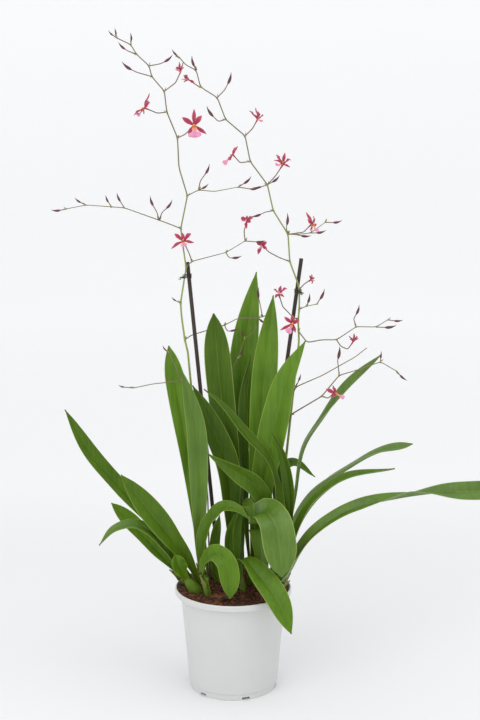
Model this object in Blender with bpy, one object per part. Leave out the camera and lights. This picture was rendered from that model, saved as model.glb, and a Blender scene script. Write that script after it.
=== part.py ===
"""An oncidium orchid in its 12 cm nursery pot, at real size.

The pot holds bark mix, and leaves, pseudobulbs, flower sprays and two stakes stand in plain holes in the
mix. Each leaf is a folded blade along its own smooth route. Each spray is a branching stem with its buds,
and every open bloom is a piece of its own at the end of its stalk.
X runs right, Y away from the front of the plant, Z up. The origin is the middle of the pot's underside.
"""

import math

import bpy
from mathutils import Matrix, Vector

CM = 0.01
MM = 0.001
GAP = 0.0003

# Pot, in cm. Its rim stands out over a shelf inside, and its floor has a foot ring and a pad in the middle.
RIM_RADIUS = 6.0
RIM_TOP = 10.7
RIM_HEIGHT = 0.65
SHELF = 10.2
BODY_TOP_RADIUS = 5.4
BODY_FOOT_RADIUS = 4.6
FOOT_HEIGHT = 0.65
FOOT_RADIUS = 4.5
WALL = 0.13
FLOOR_UNDERSIDE = 0.35
FLOOR_TOP = 0.55
CHAMFER = 0.15
PAD_RADIUS = 1.4
POT_SIDES = 36
NOTCH_COUNT = 6
NOTCH_WIDTH = 0.8
NOTCH_HEIGHT = 0.3
NOTCH_CUT = 1.2
FIRST_NOTCH_ANGLE = math.radians(-73)

# Bark mix, in cm. A leaf or stem stands in a plain round hole that clears its foot.
SOIL_EDGE = 10.15
SOIL_MOUND = 0.3
SOIL_ROUGHNESS = 0.1
SOIL_SIDES = 18
SOIL_RINGS = (0.3, 0.62, 0.9)
ROOT_DEPTH = 0.9
HOLE_CLEARANCE = 0.05
HOLE_SIDES = 6
FOOT_REACH = 1.5
FOOT_MARGIN = 2.0

# Leaf blades.
CURVE_STEPS = 12
BLADE_THICKNESS = 0.7 * MM
LEAF_ROWS = 13
LEAF_BASE_SHARE = 0.32
BASE_FOLD = math.radians(62)
MIDDLE_FOLD = math.radians(24)
TIP_FOLD = math.radians(14)
TIP_HALF_WIDTH = 0.6 * MM

# Stakes and ties, in cm.
STAKE_RADIUS = 0.2
STAKE_FOOT = 5.0
STAKE_SIDES = 8
TIE_WIRE_RADIUS = 0.05
TIE_CLEARANCE = 0.04
TIE_POINTS = 14
TIE_SIDES = 5
TAIL_SIDES = 4
TAIL_REACH = 0.35
TAIL_DROP = 0.1
TAIL_SPREAD = 0.12

# Flower stems, in cm.
TWIG_RADIUS = 0.055
ROOT_SINK = 0.06
STEM_SIDES = 5
TWIG_SIDES = 4
BUD_RADIUS = 0.2
BUD_SHAPE = ((0.35, 1.0), (0.72, 0.7), (1.0, 0.12))

UP = Vector((0, 0, 1))

# Each leaf: half width in cm, where its root stands, the places it passes in cm, and the ways that its
# upper face looks from root to tip.
LEAVES = {
    "leaf_far_left": (
        0.95, (-4.5, 1.9),
        [(-6.2, 2.2, 12.8), (-8.9, 2.4, 17.0), (-11.8, 2.4, 20.5), (-14.7, 2.0, 24.3), (-17.1, 1.2, 29.1)],
        [(0.9, -0.4, 0.2), (0.5, -0.8, 0.5), (0.4, -0.9, 0.4)],
    ),
    "leaf_left_broad": (
        1.3, (-3.8, 0.0),
        [(-4.8, -0.8, 13.8), (-6.4, -1.8, 16.5), (-8.1, -2.8, 19.2), (-9.7, -3.4, 21.6), (-11.1, -3.6, 23.6)],
        [(0.8, -0.6, 0.1), (0.4, -0.9, 0.3), (0.5, -0.9, 0.2)],
    ),
    "leaf_left_low": (
        0.95, (-4.9, 0.9),
        [(-6.2, 0.8, 12.2), (-8.1, 0.9, 14.4), (-10.0, 0.9, 16.6), (-12.5, 0.6, 19.4)],
        [(0.8, -0.5, 0.4), (0.3, -0.8, 0.6), (0.3, -0.8, 0.5)],
    ),
    "leaf_left_droop": (
        0.65, (-4.35, 0.4),
        [(-5.8, -1.0, 13.2), (-7.1, -2.0, 15.7), (-8.4, -2.8, 17.5), (-10.0, -3.4, 18.4),
         (-11.9, -3.8, 18.0), (-13.4, -4.0, 16.4)],
        [(0.8, -0.4, 0.4), (0.4, -0.6, 0.7), (-0.2, -0.7, 0.8), (-0.6, -0.6, 0.5)],
    ),
    "leaf_tall_left_back": (
        1.05, (-3.3, 1.6),
        [(-3.5, 1.3, 14.7), (-4.0, 1.3, 19.5), (-4.6, 1.4, 24.3), (-5.3, 1.4, 28.5), (-6.5, 1.4, 35.7)],
        [(-0.3, -1, 0), (0.2, -1, 0.1)],
    ),
    "leaf_tall_left_front": (
        1.1, (-3.2, 0.75),
        [(-3.4, 0.0, 14.6), (-3.4, -0.4, 19.0), (-3.5, -0.6, 23.8), (-3.7, -0.6, 27.4), (-5.1, -0.3, 33.5)],
        [(-0.4, -1, 0), (0.2, -1, 0.1)],
    ),
    "leaf_leaning_dark": (
        1.3, (-0.7, 2.0),
        [(-0.2, 1.9, 14.5), (-0.3, 1.8, 19.4), (-0.8, 1.6, 23.7), (-2.1, 1.4, 27.1), (-4.1, 1.3, 31.6)],
        [(0.3, -1, 0), (0.3, -1, 0.2)],
    ),
    "leaf_middle_left": (
        1.45, (0.0, 3.3),
        [(0.2, 3.3, 14.5), (0.0, 3.2, 18.9), (-0.4, 3.2, 23.3), (-1.3, 3.3, 30.7), (-2.0, 3.8, 38.6)],
        [(0.2, -1, 0), (0, -1, 0.1)],
    ),
    "leaf_tallest": (
        1.5, (0.9, 4.4),
        [(0.7, 4.7, 15.2), (0.6, 5.0, 21.7), (0.7, 5.4, 28.1), (1.1, 5.8, 33.9), (2.4, 6.4, 42.5)],
        [(0.1, -1, 0), (-0.1, -1, 0.1)],
    ),
    "leaf_middle_right": (
        1.4, (2.1, 2.3),
        [(2.2, 2.4, 15.1), (2.4, 2.7, 18.8), (2.9, 3.1, 27.2), (3.2, 3.4, 31.8), (4.1, 4.2, 40.4)],
        [(-0.2, -1, 0), (0, -1, 0.1)],
    ),
    "leaf_right_broad": (
        1.6, (3.3, 1.9),
        [(3.0, 1.7, 17.1), (3.2, 1.4, 21.6), (3.8, 1.1, 25.0), (4.5, 0.9, 28.6), (5.4, 0.9, 32.5),
         (7.3, 1.0, 36.3)],
        [(-0.4, -1, 0), (-0.3, -1, 0.2)],
    ),
    "leaf_narrow": (
        0.65, (1.7, 3.5),
        [(1.3, 3.8, 15.7), (1.1, 3.9, 21.0), (0.9, 4.0, 26.4), (1.0, 4.1, 30.0), (1.8, 4.3, 34.0)],
        [(0.5, -1, 0), (0.6, -1, 0)],
    ),
    "leaf_diagonal": (
        0.95, (4.0, -0.3),
        [(4.5, -0.4, 15.8), (4.6, -0.5, 19.5), (3.1, -0.7, 24.7), (1.5, -0.8, 26.6), (-1.7, -0.6, 30.6),
         (-2.9, -0.3, 31.6)],
        [(-0.9, -0.4, 0), (0.5, -0.3, 0.8), (0.6, -0.3, 0.7)],
    ),
    "leaf_bent_left": (
        1.05, (3.1, 0.3),
        [(3.1, 0.1, 13.4), (3.3, 0.0, 17.2), (3.0, -0.2, 20.0), (2.1, -0.6, 21.7), (0.7, -1.2, 23.0),
         (-2.6, -2.1, 25.4)],
        [(0.2, -1, 0), (0.3, -0.8, 0.6), (-0.2, -0.7, -0.7)],
    ),
    "leaf_front_arch": (
        0.75, (-2.6, 0.1),
        [(-3.2, -0.8, 13.2), (-3.1, -1.6, 16.2), (-2.2, -2.3, 18.7), (-0.9, -2.9, 20.1), (0.5, -3.4, 20.0),
         (1.7, -3.8, 19.0)],
        [(0.6, 0.6, 0), (-0.5, -0.7, 0.5), (0, -0.6, 0.8), (0.4, -0.8, 0.5)],
    ),
    "leaf_hood": (
        0.9, (0.6, 0.4),
        [(0.7, 0.0, 14.6), (0.9, -0.8, 18.3), (1.2, -1.7, 20.0), (1.6, -2.4, 20.1), (1.9, -3.0, 18.6)],
        [(0, 1, 0), (-0.4, 0.4, 0.8), (-0.2, -0.8, 0.6)],
    ),
    "leaf_front_hanging": (
        1.8, (3.4, -0.9),
        [(2.9, -1.1, 13.9), (2.9, -1.5, 17.4), (3.3, -2.3, 19.3), (4.0, -3.4, 18.9), (4.6, -4.4, 16.6),
         (4.9, -5.0, 13.4)],
        [(0, 1, 0), (0, 0.3, 0.9), (0.1, -0.9, 0.4), (0.1, -1, 0.2)],
    ),
    "leaf_front_low": (
        1.35, (1.2, -1.2),
        [(0.5, -1.3, 12.3), (0.4, -1.7, 13.6), (1.2, -2.6, 14.2), (2.8, -4.2, 13.0), (4.4, -5.8, 11.3),
         (5.8, -7.0, 8.2)],
        [(-0.2, 1, 0), (0, 0.2, 1), (0.1, -0.7, 0.7), (0, -0.8, 0.6)],
    ),
    "leaf_front_small": (
        1.1, (-2.6, -2.5),
        [(-3.0, -2.5, 12.7), (-2.7, -2.8, 14.4), (-1.8, -3.5, 15.4), (-0.8, -4.2, 14.9), (-0.3, -4.6, 13.0),
         (-0.3, -4.7, 11.0)],
        [(0.6, 0.6, 0.2), (-0.2, -0.2, 1), (0, -1, 0.3), (0, -1, 0)],
    ),
    "leaf_right_tall": (
        0.75, (4.2, 1.7),
        [(5.8, 1.6, 16.3), (6.4, 1.6, 19.7), (7.5, 1.8, 25.4), (9.2, 2.1, 28.0), (11.6, 2.8, 31.1),
         (15.2, 3.4, 34.4)],
        [(-1, -0.3, 0), (-1, 0.1, 0.1), (-0.8, 0.2, 0.5), (-0.5, -0.2, 0.8), (-0.5, -0.7, 0.6)],
    ),
    "leaf_right_upper": (
        0.85, (4.7, 0.85),
        [(6.0, 0.6, 15.5), (7.0, 0.6, 18.5), (8.9, 0.9, 21.0), (11.6, 1.4, 22.7), (14.3, 1.8, 24.2),
         (18.5, 2.4, 25.2)],
        [(-1, -0.3, 0.2), (-0.8, 0.3, 0.6), (-0.4, 0.5, 0.9), (-0.1, 0.2, 1), (0, -0.5, 0.9)],
    ),
    "leaf_right_middle": (
        0.95, (4.9, -0.9),
        [(5.9, -0.9, 14.6), (6.9, -1.0, 17.8), (8.5, -1.1, 20.3), (10.6, -1.4, 22.2), (16.2, -2.2, 23.9)],
        [(-0.9, -0.5, 0.2), (-0.6, -0.2, 0.8), (0, 0.0, 1)],
    ),
    "leaf_right_low": (
        1.0, (4.3, -2.0),
        [(5.9, -2.0, 13.1), (6.7, -2.4, 14.9), (8.1, -2.9, 17.2), (10.5, -3.4, 19.3), (16.6, -4.3, 21.5),
         (19.3, -4.6, 22.0), (24.5, -5.0, 22.4), (27.6, -5.2, 22.8)],
        [(-0.8, -0.5, 0.3), (-0.6, -0.5, 0.7), (-0.3, -0.6, 0.8), (-0.1, -0.4, 0.9), (0, 0.3, 1),
         (0, -0.8, 0.6), (0, -1, 0.1)],
    ),
    "leaf_small_upright": (
        0.65, (4.9, 0.1),
        [(5.4, 0.0, 13.5), (5.8, 0.1, 17.8), (5.7, 0.0, 21.4), (4.9, -0.2, 25.0), (3.9, -0.2, 27.1)],
        [(-0.7, -0.7, 0), (-0.3, -1, 0)],
    ),
    "leaf_back_right": (
        0.6, (4.2, 2.5),
        [(4.8, 2.5, 16.7), (4.6, 2.4, 20.5), (5.0, 2.4, 22.6), (6.0, 2.7, 23.1), (8.5, 3.0, 21.5)],
        [(-0.5, -0.8, 0), (0, -0.3, 1), (0.4, -0.7, 0.6)],
    ),
    "leaf_inner_yellow": (
        0.55, (-0.6, 0.9),
        [(-0.5, 0.9, 13.2), (-0.2, 0.7, 16.3), (1.0, 0.3, 19.2)],
        [(0.4, -0.9, 0), (-0.4, -0.9, 0.2)],
    ),
    "leaf_inner_bright": (
        0.6, (-1.7, 0.9),
        [(-2.0, 0.9, 13.3), (-1.9, 0.9, 15.5), (-1.4, 0.9, 18.0)],
        [(0.4, -0.9, 0), (0.2, -0.9, 0.2)],
    ),
}

# Where along its length a leaf is widest, and how blunt its end is, for those that aren't like the rest.
LEAF_ENDS = {
    "leaf_tall_left_back": (0.82, 3.0),
    "leaf_middle_left": (0.74, 4.0),
    "leaf_tallest": (0.72, 2.0),
    "leaf_middle_right": (0.7, 2.2),
    "leaf_right_broad": (0.62, 2.2),
    "leaf_left_low": (0.65, 3.5),
    "leaf_back_right": (0.7, 4.0),
    "leaf_front_hanging": (0.76, 3.0),
    "leaf_front_small": (0.74, 2.6),
    "leaf_right_tall": (0.78, 2.2),
    "leaf_right_upper": (0.85, 3.0),
    "leaf_right_low": (0.86, 3.0),
}
USUAL_END = (0.65, 2.4)

# Pseudobulbs: foot, top and radius in cm.
BULBS = {
    "pseudobulb_left": ((-3.0, -1.3, 9.6), (-4.9, -1.45, 12.1), 0.7),
    "pseudobulb_middle": ((1.9, 0.75, 9.4), (2.0, 0.6, 13.4), 0.55),
    "pseudobulb_back": ((-1.9, 4.2, 9.4), (-2.2, 4.4, 13.0), 0.75),
}
BULB_SHAPE = ((0.08, 0.45), (0.3, 0.92), (0.5, 1.0), (0.75, 0.75), (0.93, 0.4))
BULB_SIDES = 8
STUB_HALF_WIDTH = 0.85
STUB_ROUTE = [(-4.6, -1.5, 11.8), (-5.2, -1.9, 12.8), (-5.6, -2.35, 13.8), (-5.9, -2.75, 15.0)]
STUB_LOOKS = [(0.5, -0.8, 0.3), (0.3, -0.9, 0.3)]
STUB_END = (0.55, 4.0)
STUB_ROWS = 7

# Stakes: where each axis meets the top of the mix, and its top end, in cm.
STAKES = {
    "stake_left": ((-1.4, 2.6, 10.3), (-4.6, 2.8, 44.0)),
    "stake_right": ((2.5, 3.9, 10.3), (6.9, 3.3, 44.3)),
}

# The tie on each stake: the height it sits at, and the spray whose stem it holds.
TIES = {
    "tie_left": ("stake_left", 42.6, "spray_left"),
    "tie_right": ("stake_right", 41.0, "spray_right"),
}

# Flower sprays. The first stem of each is its main stem, which stands in the mix. A bud or bloom sits at
# the end of its own route. All places are in cm, and a stem's two radii are at its foot and its end.
SPRAYS = {
    "spray_left": {
        "stems": [
            (0.17, 0.07, [
                (-2.6, 2.6, 9.5), (-3.0, 2.5, 14.8), (-3.8, 2.4, 25.6), (-4.6, 2.4, 34.8), (-4.9, 2.4, 36.1),
                (-5.2, 2.3, 38.4), (-5.3, 2.3, 39.9), (-4.9, 2.3, 42.4), (-4.7, 2.2, 43.5),
                (-5.0, 2.0, 45.7), (-5.2, 1.8, 47.5), (-4.5, 1.4, 50.8), (-5.3, 1.0, 53.6),
                (-5.4, 0.6, 56.5), (-6.4, 0.2, 59.0), (-6.6, -0.1, 61.0), (-7.8, -0.4, 62.4),
                (-8.0, -0.7, 63.4), (-9.2, -1.0, 64.5), (-9.7, -1.2, 65.4), (-11.0, -1.4, 66.0)]),
            (0.07, 0.05, [(-4.9, 2.4, 36.1), (-4.3, 3.3, 36.4), (-3.4, 3.8, 36.6), (-0.9, 4.7, 37.2),
                          (0.5, 4.9, 37.9), (2.6, 4.9, 37.9), (3.4, 4.9, 38.2)]),
            (0.07, 0.05, [(-4.7, 2.2, 43.6), (-4.1, 1.9, 44.2), (-0.7, 1.0, 45.2), (1.2, 0.6, 46.4)]),
            (0.08, 0.05, [(-5.2, 1.8, 47.5), (-6.5, 1.2, 48.1), (-10.6, -0.6, 49.8), (-14.2, -1.9, 50.2),
                          (-16.0, -2.6, 49.9)]),
            (0.07, 0.05, [(-4.5, 1.4, 50.8), (-3.4, 1.0, 51.4), (-1.8, 0.4, 51.3), (0.5, -0.4, 51.8)]),
        ],
        "buds": [
            (0.5, [(-5.3, 2.3, 39.9), (-6.0, 2.0, 40.3)]),
            (0.7, [(-0.9, 4.7, 37.2), (-0.6, 4.5, 36.6), (0.1, 4.3, 36.7)]),
            (0.9, [(3.0, 4.9, 38.05), (2.8, 4.8, 39.2), (2.5, 4.6, 40.6)]),
            (0.7, [(2.6, 4.9, 37.9), (3.0, 4.8, 37.5)]),
            (0.7, [(3.4, 4.9, 38.2), (4.0, 4.8, 38.2)]),
            (0.8, [(-0.7, 1.0, 45.2), (-0.4, 0.8, 44.7), (0.4, 0.5, 44.7)]),
            (0.7, [(1.2, 0.6, 46.4), (2.7, 0.4, 46.3)]),
            (0.8, [(-7.3, 0.85, 48.45), (-7.5, 0.9, 49.2), (-8.1, 0.7, 50.3)]),
            (0.8, [(-7.3, 0.85, 48.45), (-7.0, 1.0, 49.2), (-6.2, 1.1, 49.9)]),
            (0.7, [(-10.6, -0.6, 49.8), (-11.2, -0.8, 50.8)]),
            (0.6, [(-11.8, -1.0, 49.9), (-12.3, -1.2, 50.7)]),
            (0.6, [(-14.2, -1.9, 50.2), (-15.0, -2.1, 50.6)]),
            (0.7, [(-16.0, -2.6, 49.9), (-17.0, -2.9, 49.7)]),
            (0.8, [(-3.4, 1.0, 51.4), (-3.2, 0.9, 52.3), (-2.4, 0.8, 53.4)]),
            (0.7, [(-3.4, 1.0, 51.4), (-2.7, 0.6, 51.7)]),
            (0.8, [(0.5, -0.4, 51.8), (1.5, -0.6, 52.4)]),
            (0.7, [(0.5, -0.4, 51.8), (2.1, -0.9, 51.6)]),
            (0.9, [(-7.8, -0.4, 62.4), (-9.2, -0.8, 62.8), (-10.2, -1.0, 63.3)]),
            (0.8, [(-8.0, -0.7, 63.4), (-6.9, -0.7, 63.6), (-6.1, -0.6, 64.0)]),
            (0.7, [(-9.2, -1.0, 64.5), (-10.0, -1.2, 64.8), (-10.6, -1.4, 65.2)]),
            (0.6, [(-9.7, -1.2, 65.4), (-9.6, -1.3, 66.1)]),
            (0.5, [(-11.0, -1.4, 66.0), (-11.6, -1.5, 66.4)]),
            (0.5, [(-11.0, -1.4, 66.0), (-11.1, -1.5, 66.6)]),
        ],
        "blooms": [
            ("bloom_far_left", 1.1,
             [(-6.4, 0.2, 59.0), (-7.3, 0.0, 58.9), (-8.0, -0.2, 59.2), (-8.5, -0.4, 59.4)], (-0.9, -0.4, -0.1)),
            ("bloom_high_left", 1.4, [(-5.4, 0.6, 56.5), (-4.6, -0.3, 56.9), (-3.7, -1.3, 57.8)],
             (-0.1, -1.0, 0.0)),
            ("bloom_left_top", 0.85, [(-6.6, -0.1, 61.0), (-5.5, -0.6, 61.8), (-5.0, -0.9, 62.8)],
             (-0.4, -0.4, 0.8)),
            ("bloom_left_middle", 1.2, [(-4.1, 1.9, 44.2), (-4.4, 1.0, 45.2), (-4.9, 0.4, 46.4)],
             (0.0, -0.8, 0.6)),
            ("bloom_centre", 0.95, [(1.2, 0.6, 46.4), (1.1, 0.5, 47.4), (1.4, 0.5, 48.4)], (-0.5, -0.6, 0.5)),
        ],
    },
    "spray_right": {
        "stems": [
            (0.17, 0.07, [
                (3.6, 2.9, 9.5), (4.7, 3.8, 14.5), (5.5, 3.8, 23.3), (6.4, 2.7, 33.0), (6.7, 2.6, 35.9),
                (6.6, 2.6, 38.1), (6.7, 2.6, 39.2), (6.7, 2.7, 41.2), (6.5, 2.6, 42.0), (5.7, 2.4, 44.1),
                (5.5, 2.0, 46.9), (4.0, 1.6, 49.3), (3.4, 1.2, 51.9), (1.7, 0.8, 54.2), (1.2, 0.5, 56.7),
                (-0.7, 0.2, 58.3), (-1.5, -0.1, 60.4), (-3.1, -0.4, 61.4), (-3.5, -0.7, 63.0),
                (-4.5, -0.9, 63.5), (-5.1, -1.1, 64.2)]),
            (0.08, 0.05, [(6.6, 2.6, 37.0), (7.5, 2.0, 35.9), (9.0, 1.4, 36.3), (10.4, 0.8, 36.4),
                          (12.3, 0.0, 37.9), (14.2, -0.8, 38.0), (15.3, -1.2, 38.8)]),
            (0.07, 0.05, [(5.5, 2.0, 46.9), (6.3, 2.6, 46.8), (7.8, 3.1, 46.9), (9.3, 3.8, 47.9)]),
            (0.06, 0.05, [(6.7, 2.6, 39.2), (7.4, 2.2, 39.6), (8.4, 1.6, 39.9)]),
            (0.06, 0.05, [(6.6, 2.6, 38.1), (6.0, 2.3, 38.5), (5.0, 1.9, 39.6)]),
        ],
        "buds": [
            (0.8, [(-3.5, -0.7, 63.0), (-3.9, -0.7, 63.8)]),
            (0.6, [(-5.1, -1.1, 64.2), (-5.6, -1.2, 64.6)]),
            (0.9, [(-1.5, -0.1, 60.4), (-0.8, -0.3, 61.1), (-0.2, -0.4, 62.2)]),
            (0.9, [(-0.7, 0.2, 58.3), (-1.4, 0.0, 58.1), (-2.3, -0.2, 59.0)]),
            (0.8, [(3.4, 1.2, 51.9), (4.3, 0.9, 52.4)]),
            (0.7, [(3.4, 1.2, 51.9), (2.4, 0.8, 51.6)]),
            (0.9, [(5.5, 2.0, 46.9), (5.3, 2.0, 47.5), (5.5, 2.0, 48.4)]),
            (0.8, [(6.3, 2.6, 46.8), (7.3, 2.4, 46.6)]),
            (0.8, [(7.8, 3.1, 46.9), (8.9, 3.3, 46.9)]),
            (0.8, [(9.3, 3.8, 47.9), (10.6, 4.4, 47.8)]),
            (0.8, [(7.4, 2.2, 39.6), (7.7, 1.8, 40.4)]),
            (0.9, [(8.4, 1.6, 39.9), (9.0, 1.2, 40.9)]),
            (0.8, [(12.3, 0.0, 37.9), (12.0, -0.1, 38.7), (12.5, -0.2, 39.6)]),
            (0.9, [(14.2, -0.8, 38.0), (15.6, -1.2, 38.0)]),
            (0.7, [(15.3, -1.2, 38.8), (16.3, -1.6, 38.7)]),
            (0.8, [(4.0, 1.6, 49.3), (3.2, 1.2, 49.2), (2.3, 0.9, 48.8)]),
        ],
        "blooms": [
            ("bloom_top_right", 0.85, [(-3.1, -0.4, 61.4), (-3.5, -0.7, 61.6), (-4.2, -1.2, 62.1)],
             (-0.8, -0.5, 0.3)),
            ("bloom_high_right", 1.0, [(1.2, 0.5, 56.7), (1.9, 0.2, 57.4), (2.4, 0.0, 58.3)],
             (0.5, -0.3, 0.8)),
            ("bloom_middle_high", 1.0, [(1.7, 0.8, 54.2), (0.7, 0.5, 54.1), (0.0, 0.3, 54.9)],
             (-0.8, -0.5, -0.2)),
            ("bloom_right_high", 1.15, [(3.4, 1.2, 51.9), (4.2, 0.9, 52.8), (4.9, 0.6, 53.9)],
             (0.0, -0.4, 0.9)),
            ("bloom_middle", 0.95, [(5.7, 2.4, 44.1), (4.6, 1.8, 44.6), (3.6, 1.2, 45.2), (2.9, 0.9, 45.9)],
             (-0.4, -0.8, 0.1)),
            ("bloom_right_upper", 1.2, [(5.5, 2.0, 46.9), (7.0, 1.2, 47.2), (7.8, 0.6, 48.1)],
             (0.7, -0.6, -0.3)),
            ("bloom_right_small", 0.7, [(6.7, 2.7, 41.2), (7.1, 2.2, 41.8), (7.8, 1.7, 42.4)],
             (0.8, -0.5, 0.1)),
            ("bloom_right_curled", 1.15, [(6.0, 2.3, 38.5), (5.0, 1.9, 39.6), (4.6, 1.4, 40.9)],
             (0.1, -0.3, 0.9)),
            ("bloom_front", 1.35, [(6.6, 2.6, 38.1), (6.3, 1.9, 37.9), (6.0, 1.2, 38.0)], (-0.1, -1.0, 0.1)),
            ("bloom_far_right", 1.0,
             [(10.4, 0.8, 36.4), (10.8, 0.6, 35.8), (11.5, 0.4, 35.5), (12.0, 0.2, 36.3)], (0.4, 0.2, 0.9)),
        ],
    },
    "spray_low_right": {
        "stems": [
            (0.12, 0.05, [
                (3.1, 3.4, 9.5), (3.6, 3.5, 14.6), (4.1, 3.3, 21.2), (4.7, 3.1, 25.0), (5.3, 2.6, 27.0),
                (6.0, 2.2, 28.4), (9.0, 1.2, 30.5), (10.7, 0.6, 32.8), (12.7, -0.2, 33.6), (14.7, -0.9, 34.5),
                (16.3, -1.2, 33.6)]),
            (0.07, 0.05, [(5.3, 2.6, 27.0), (5.7, 2.6, 29.3), (6.4, 2.4, 31.2), (9.1, 1.6, 32.6),
                          (12.3, 0.6, 34.7), (13.4, 0.2, 35.7)]),
        ],
        "buds": [
            (0.6, [(6.4, 2.4, 31.2), (6.8, 2.1, 32.2)]),
            (0.6, [(6.0, 2.2, 28.4), (5.7, 2.0, 27.6)]),
            (1.0, [(10.7, 0.6, 32.8), (10.5, 0.3, 34.4), (10.7, 0.3, 35.2)]),
            (0.6, [(14.7, -0.9, 34.5), (14.7, -1.1, 35.2)]),
            (0.7, [(16.3, -1.2, 33.6), (16.9, -1.3, 32.9)]),
        ],
        "blooms": [
            ("bloom_low_right", 1.2, [(9.0, 1.2, 30.5), (9.6, 0.7, 30.4), (10.2, 0.1, 31.1)],
             (0.7, -0.6, -0.2)),
        ],
    },
    "spray_centre": {
        "stems": [
            (0.08, 0.05, [
                (-0.5, 4.4, 9.5), (-0.5, 4.3, 14.1), (-0.3, 4.1, 23.2), (0.0, 4.2, 30.4), (-0.1, 4.5, 32.7),
                (0.5, 4.6, 33.8), (1.2, 4.7, 35.8), (2.1, 4.6, 36.5), (2.4, 4.5, 37.2)]),
        ],
        "buds": [
            (0.6, [(1.2, 4.7, 35.8), (0.9, 4.5, 36.4)]),
            (0.5, [(0.5, 4.6, 33.8), (0.9, 4.4, 34.4)]),
        ],
        "blooms": [],
    },
    "spray_low_left": {
        "stems": [
            (0.09, 0.05, [
                (-2.4, 1.5, 9.5), (-2.5, 1.2, 13.2), (-2.6, 0.6, 20.0), (-3.1, 0.5, 27.0), (-4.9, 0.4, 31.1),
                (-5.2, 0.2, 32.3), (-7.9, -0.6, 32.2), (-9.9, -1.2, 31.9)]),
            (0.06, 0.05, [(-5.2, 0.2, 32.3), (-5.8, 0.1, 33.9), (-6.5, -0.1, 35.3)]),
        ],
        "buds": [
            (0.5, [(-9.9, -1.2, 31.9), (-11.1, -1.6, 32.1)]),
            (0.5, [(-6.5, -0.1, 35.3), (-6.9, -0.2, 35.7)]),
        ],
        "blooms": [],
    },
}

# A bloom, as shares of its tepals' length. A petal's shape lists reach, width and lift forward, and the
# petals list angle, length and shape: two petals at the sides, three sepals, and the lip pointing down.
OVARY_LENGTH = 0.42
COLUMN_LENGTH = 0.3
HEART_RADII = (0.06, 0.07, 0.16, 0.1)
HEART_SIDES = 4
VALLEY = 0.1
SEPAL = ((0.5, 0.26, 0.14), (1.0, 0.05, -0.06))
SIDE_PETAL = ((0.5, 0.33, 0.14), (1.0, 0.06, -0.04))
LIP = ((0.28, 0.36, 0.1), (0.45, 0.2, 0.12), (0.7, 0.66, 0.08), (1.0, 0.36, -0.02))
PETALS = (
    (28, 1.0, SIDE_PETAL), (90, 1.0, SEPAL), (152, 1.0, SIDE_PETAL),
    (212, 0.95, SEPAL), (270, 1.0, LIP), (328, 0.95, SEPAL),
)
PETAL_THICKNESS = 0.06


def vec(point):
    return Vector(point) * CM


def clear_scene():
    for old in list(bpy.data.objects):
        bpy.data.objects.remove(old, do_unlink=True)


def material(name, colour, roughness):
    made = bpy.data.materials.new(name)
    made.use_nodes = True
    shader = made.node_tree.nodes["Principled BSDF"]
    shader.inputs["Base Color"].default_value = (*colour, 1.0)
    shader.inputs["Roughness"].default_value = roughness
    return made


def mesh_object(name, points, faces):
    """A closed mesh as an object, with its faces turned outwards by its own volume."""
    volume = sum(
        points[face[0]].dot(points[face[i]].cross(points[face[i + 1]]))
        for face in faces
        for i in range(1, len(face) - 1)
    )
    if volume < 0:
        faces = [face[::-1] for face in faces]
    mesh = bpy.data.meshes.new(name)
    mesh.from_pydata([tuple(p) for p in points], [], faces)
    made = bpy.data.objects.new(name, mesh)
    bpy.context.scene.collection.objects.link(made)
    return made


def finished(made, finish, smooth=True):
    """The object with its material and shading."""
    made.data.materials.clear()
    made.data.materials.append(finish)
    if smooth:
        made.data.shade_smooth()
        made.data.set_sharp_from_angle(angle=math.radians(40))
    return made


def rings_to_faces(ring_count, ring_size):
    """Quads between neighbouring rings and a cap on each end."""
    faces = []
    for row in range(ring_count - 1):
        for i in range(ring_size):
            j = (i + 1) % ring_size
            low, high = row * ring_size, (row + 1) * ring_size
            faces.append((low + i, low + j, high + j, high + i))
    last = (ring_count - 1) * ring_size
    faces.append(tuple(range(ring_size))[::-1])
    faces.append(tuple(range(last, last + ring_size)))
    return faces


def applied(made, operation, others, solver="EXACT"):
    """The object after one Boolean with a collection of the others, which are then removed."""
    group = bpy.data.collections.new("operands")
    bpy.context.scene.collection.children.link(group)
    for other in others:
        bpy.context.scene.collection.objects.unlink(other)
        group.objects.link(other)
    boolean = made.modifiers.new(operation, "BOOLEAN")
    boolean.operation = operation
    boolean.operand_type = "COLLECTION"
    boolean.collection = group
    boolean.solver = solver
    graph = bpy.context.evaluated_depsgraph_get()
    result = bpy.data.meshes.new_from_object(made.evaluated_get(graph))
    made.modifiers.clear()
    made.data = result
    for other in others:
        bpy.data.objects.remove(other, do_unlink=True)
    bpy.data.collections.remove(group)
    return made


def smooth_route(points, count):
    """Evenly spaced points along a smooth curve through the given points."""
    spans = [(b - a).length for a, b in zip(points, points[1:])]
    slopes = [(points[1] - points[0]) / spans[0]]
    for i in range(1, len(points) - 1):
        before = (points[i] - points[i - 1]) / spans[i - 1]
        after = (points[i + 1] - points[i]) / spans[i]
        slopes.append((before * spans[i] + after * spans[i - 1]) / (spans[i] + spans[i - 1]))
    slopes.append((points[-1] - points[-2]) / spans[-1])
    fine = []
    for i, span in enumerate(spans):
        for step in range(CURVE_STEPS):
            t = step / CURVE_STEPS
            fine.append(
                points[i] * (2 * t**3 - 3 * t**2 + 1)
                + slopes[i] * span * (t**3 - 2 * t**2 + t)
                + points[i + 1] * (3 * t**2 - 2 * t**3)
                + slopes[i + 1] * span * (t**3 - t**2)
            )
    fine.append(points[-1])
    return evenly(fine, count)


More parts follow.
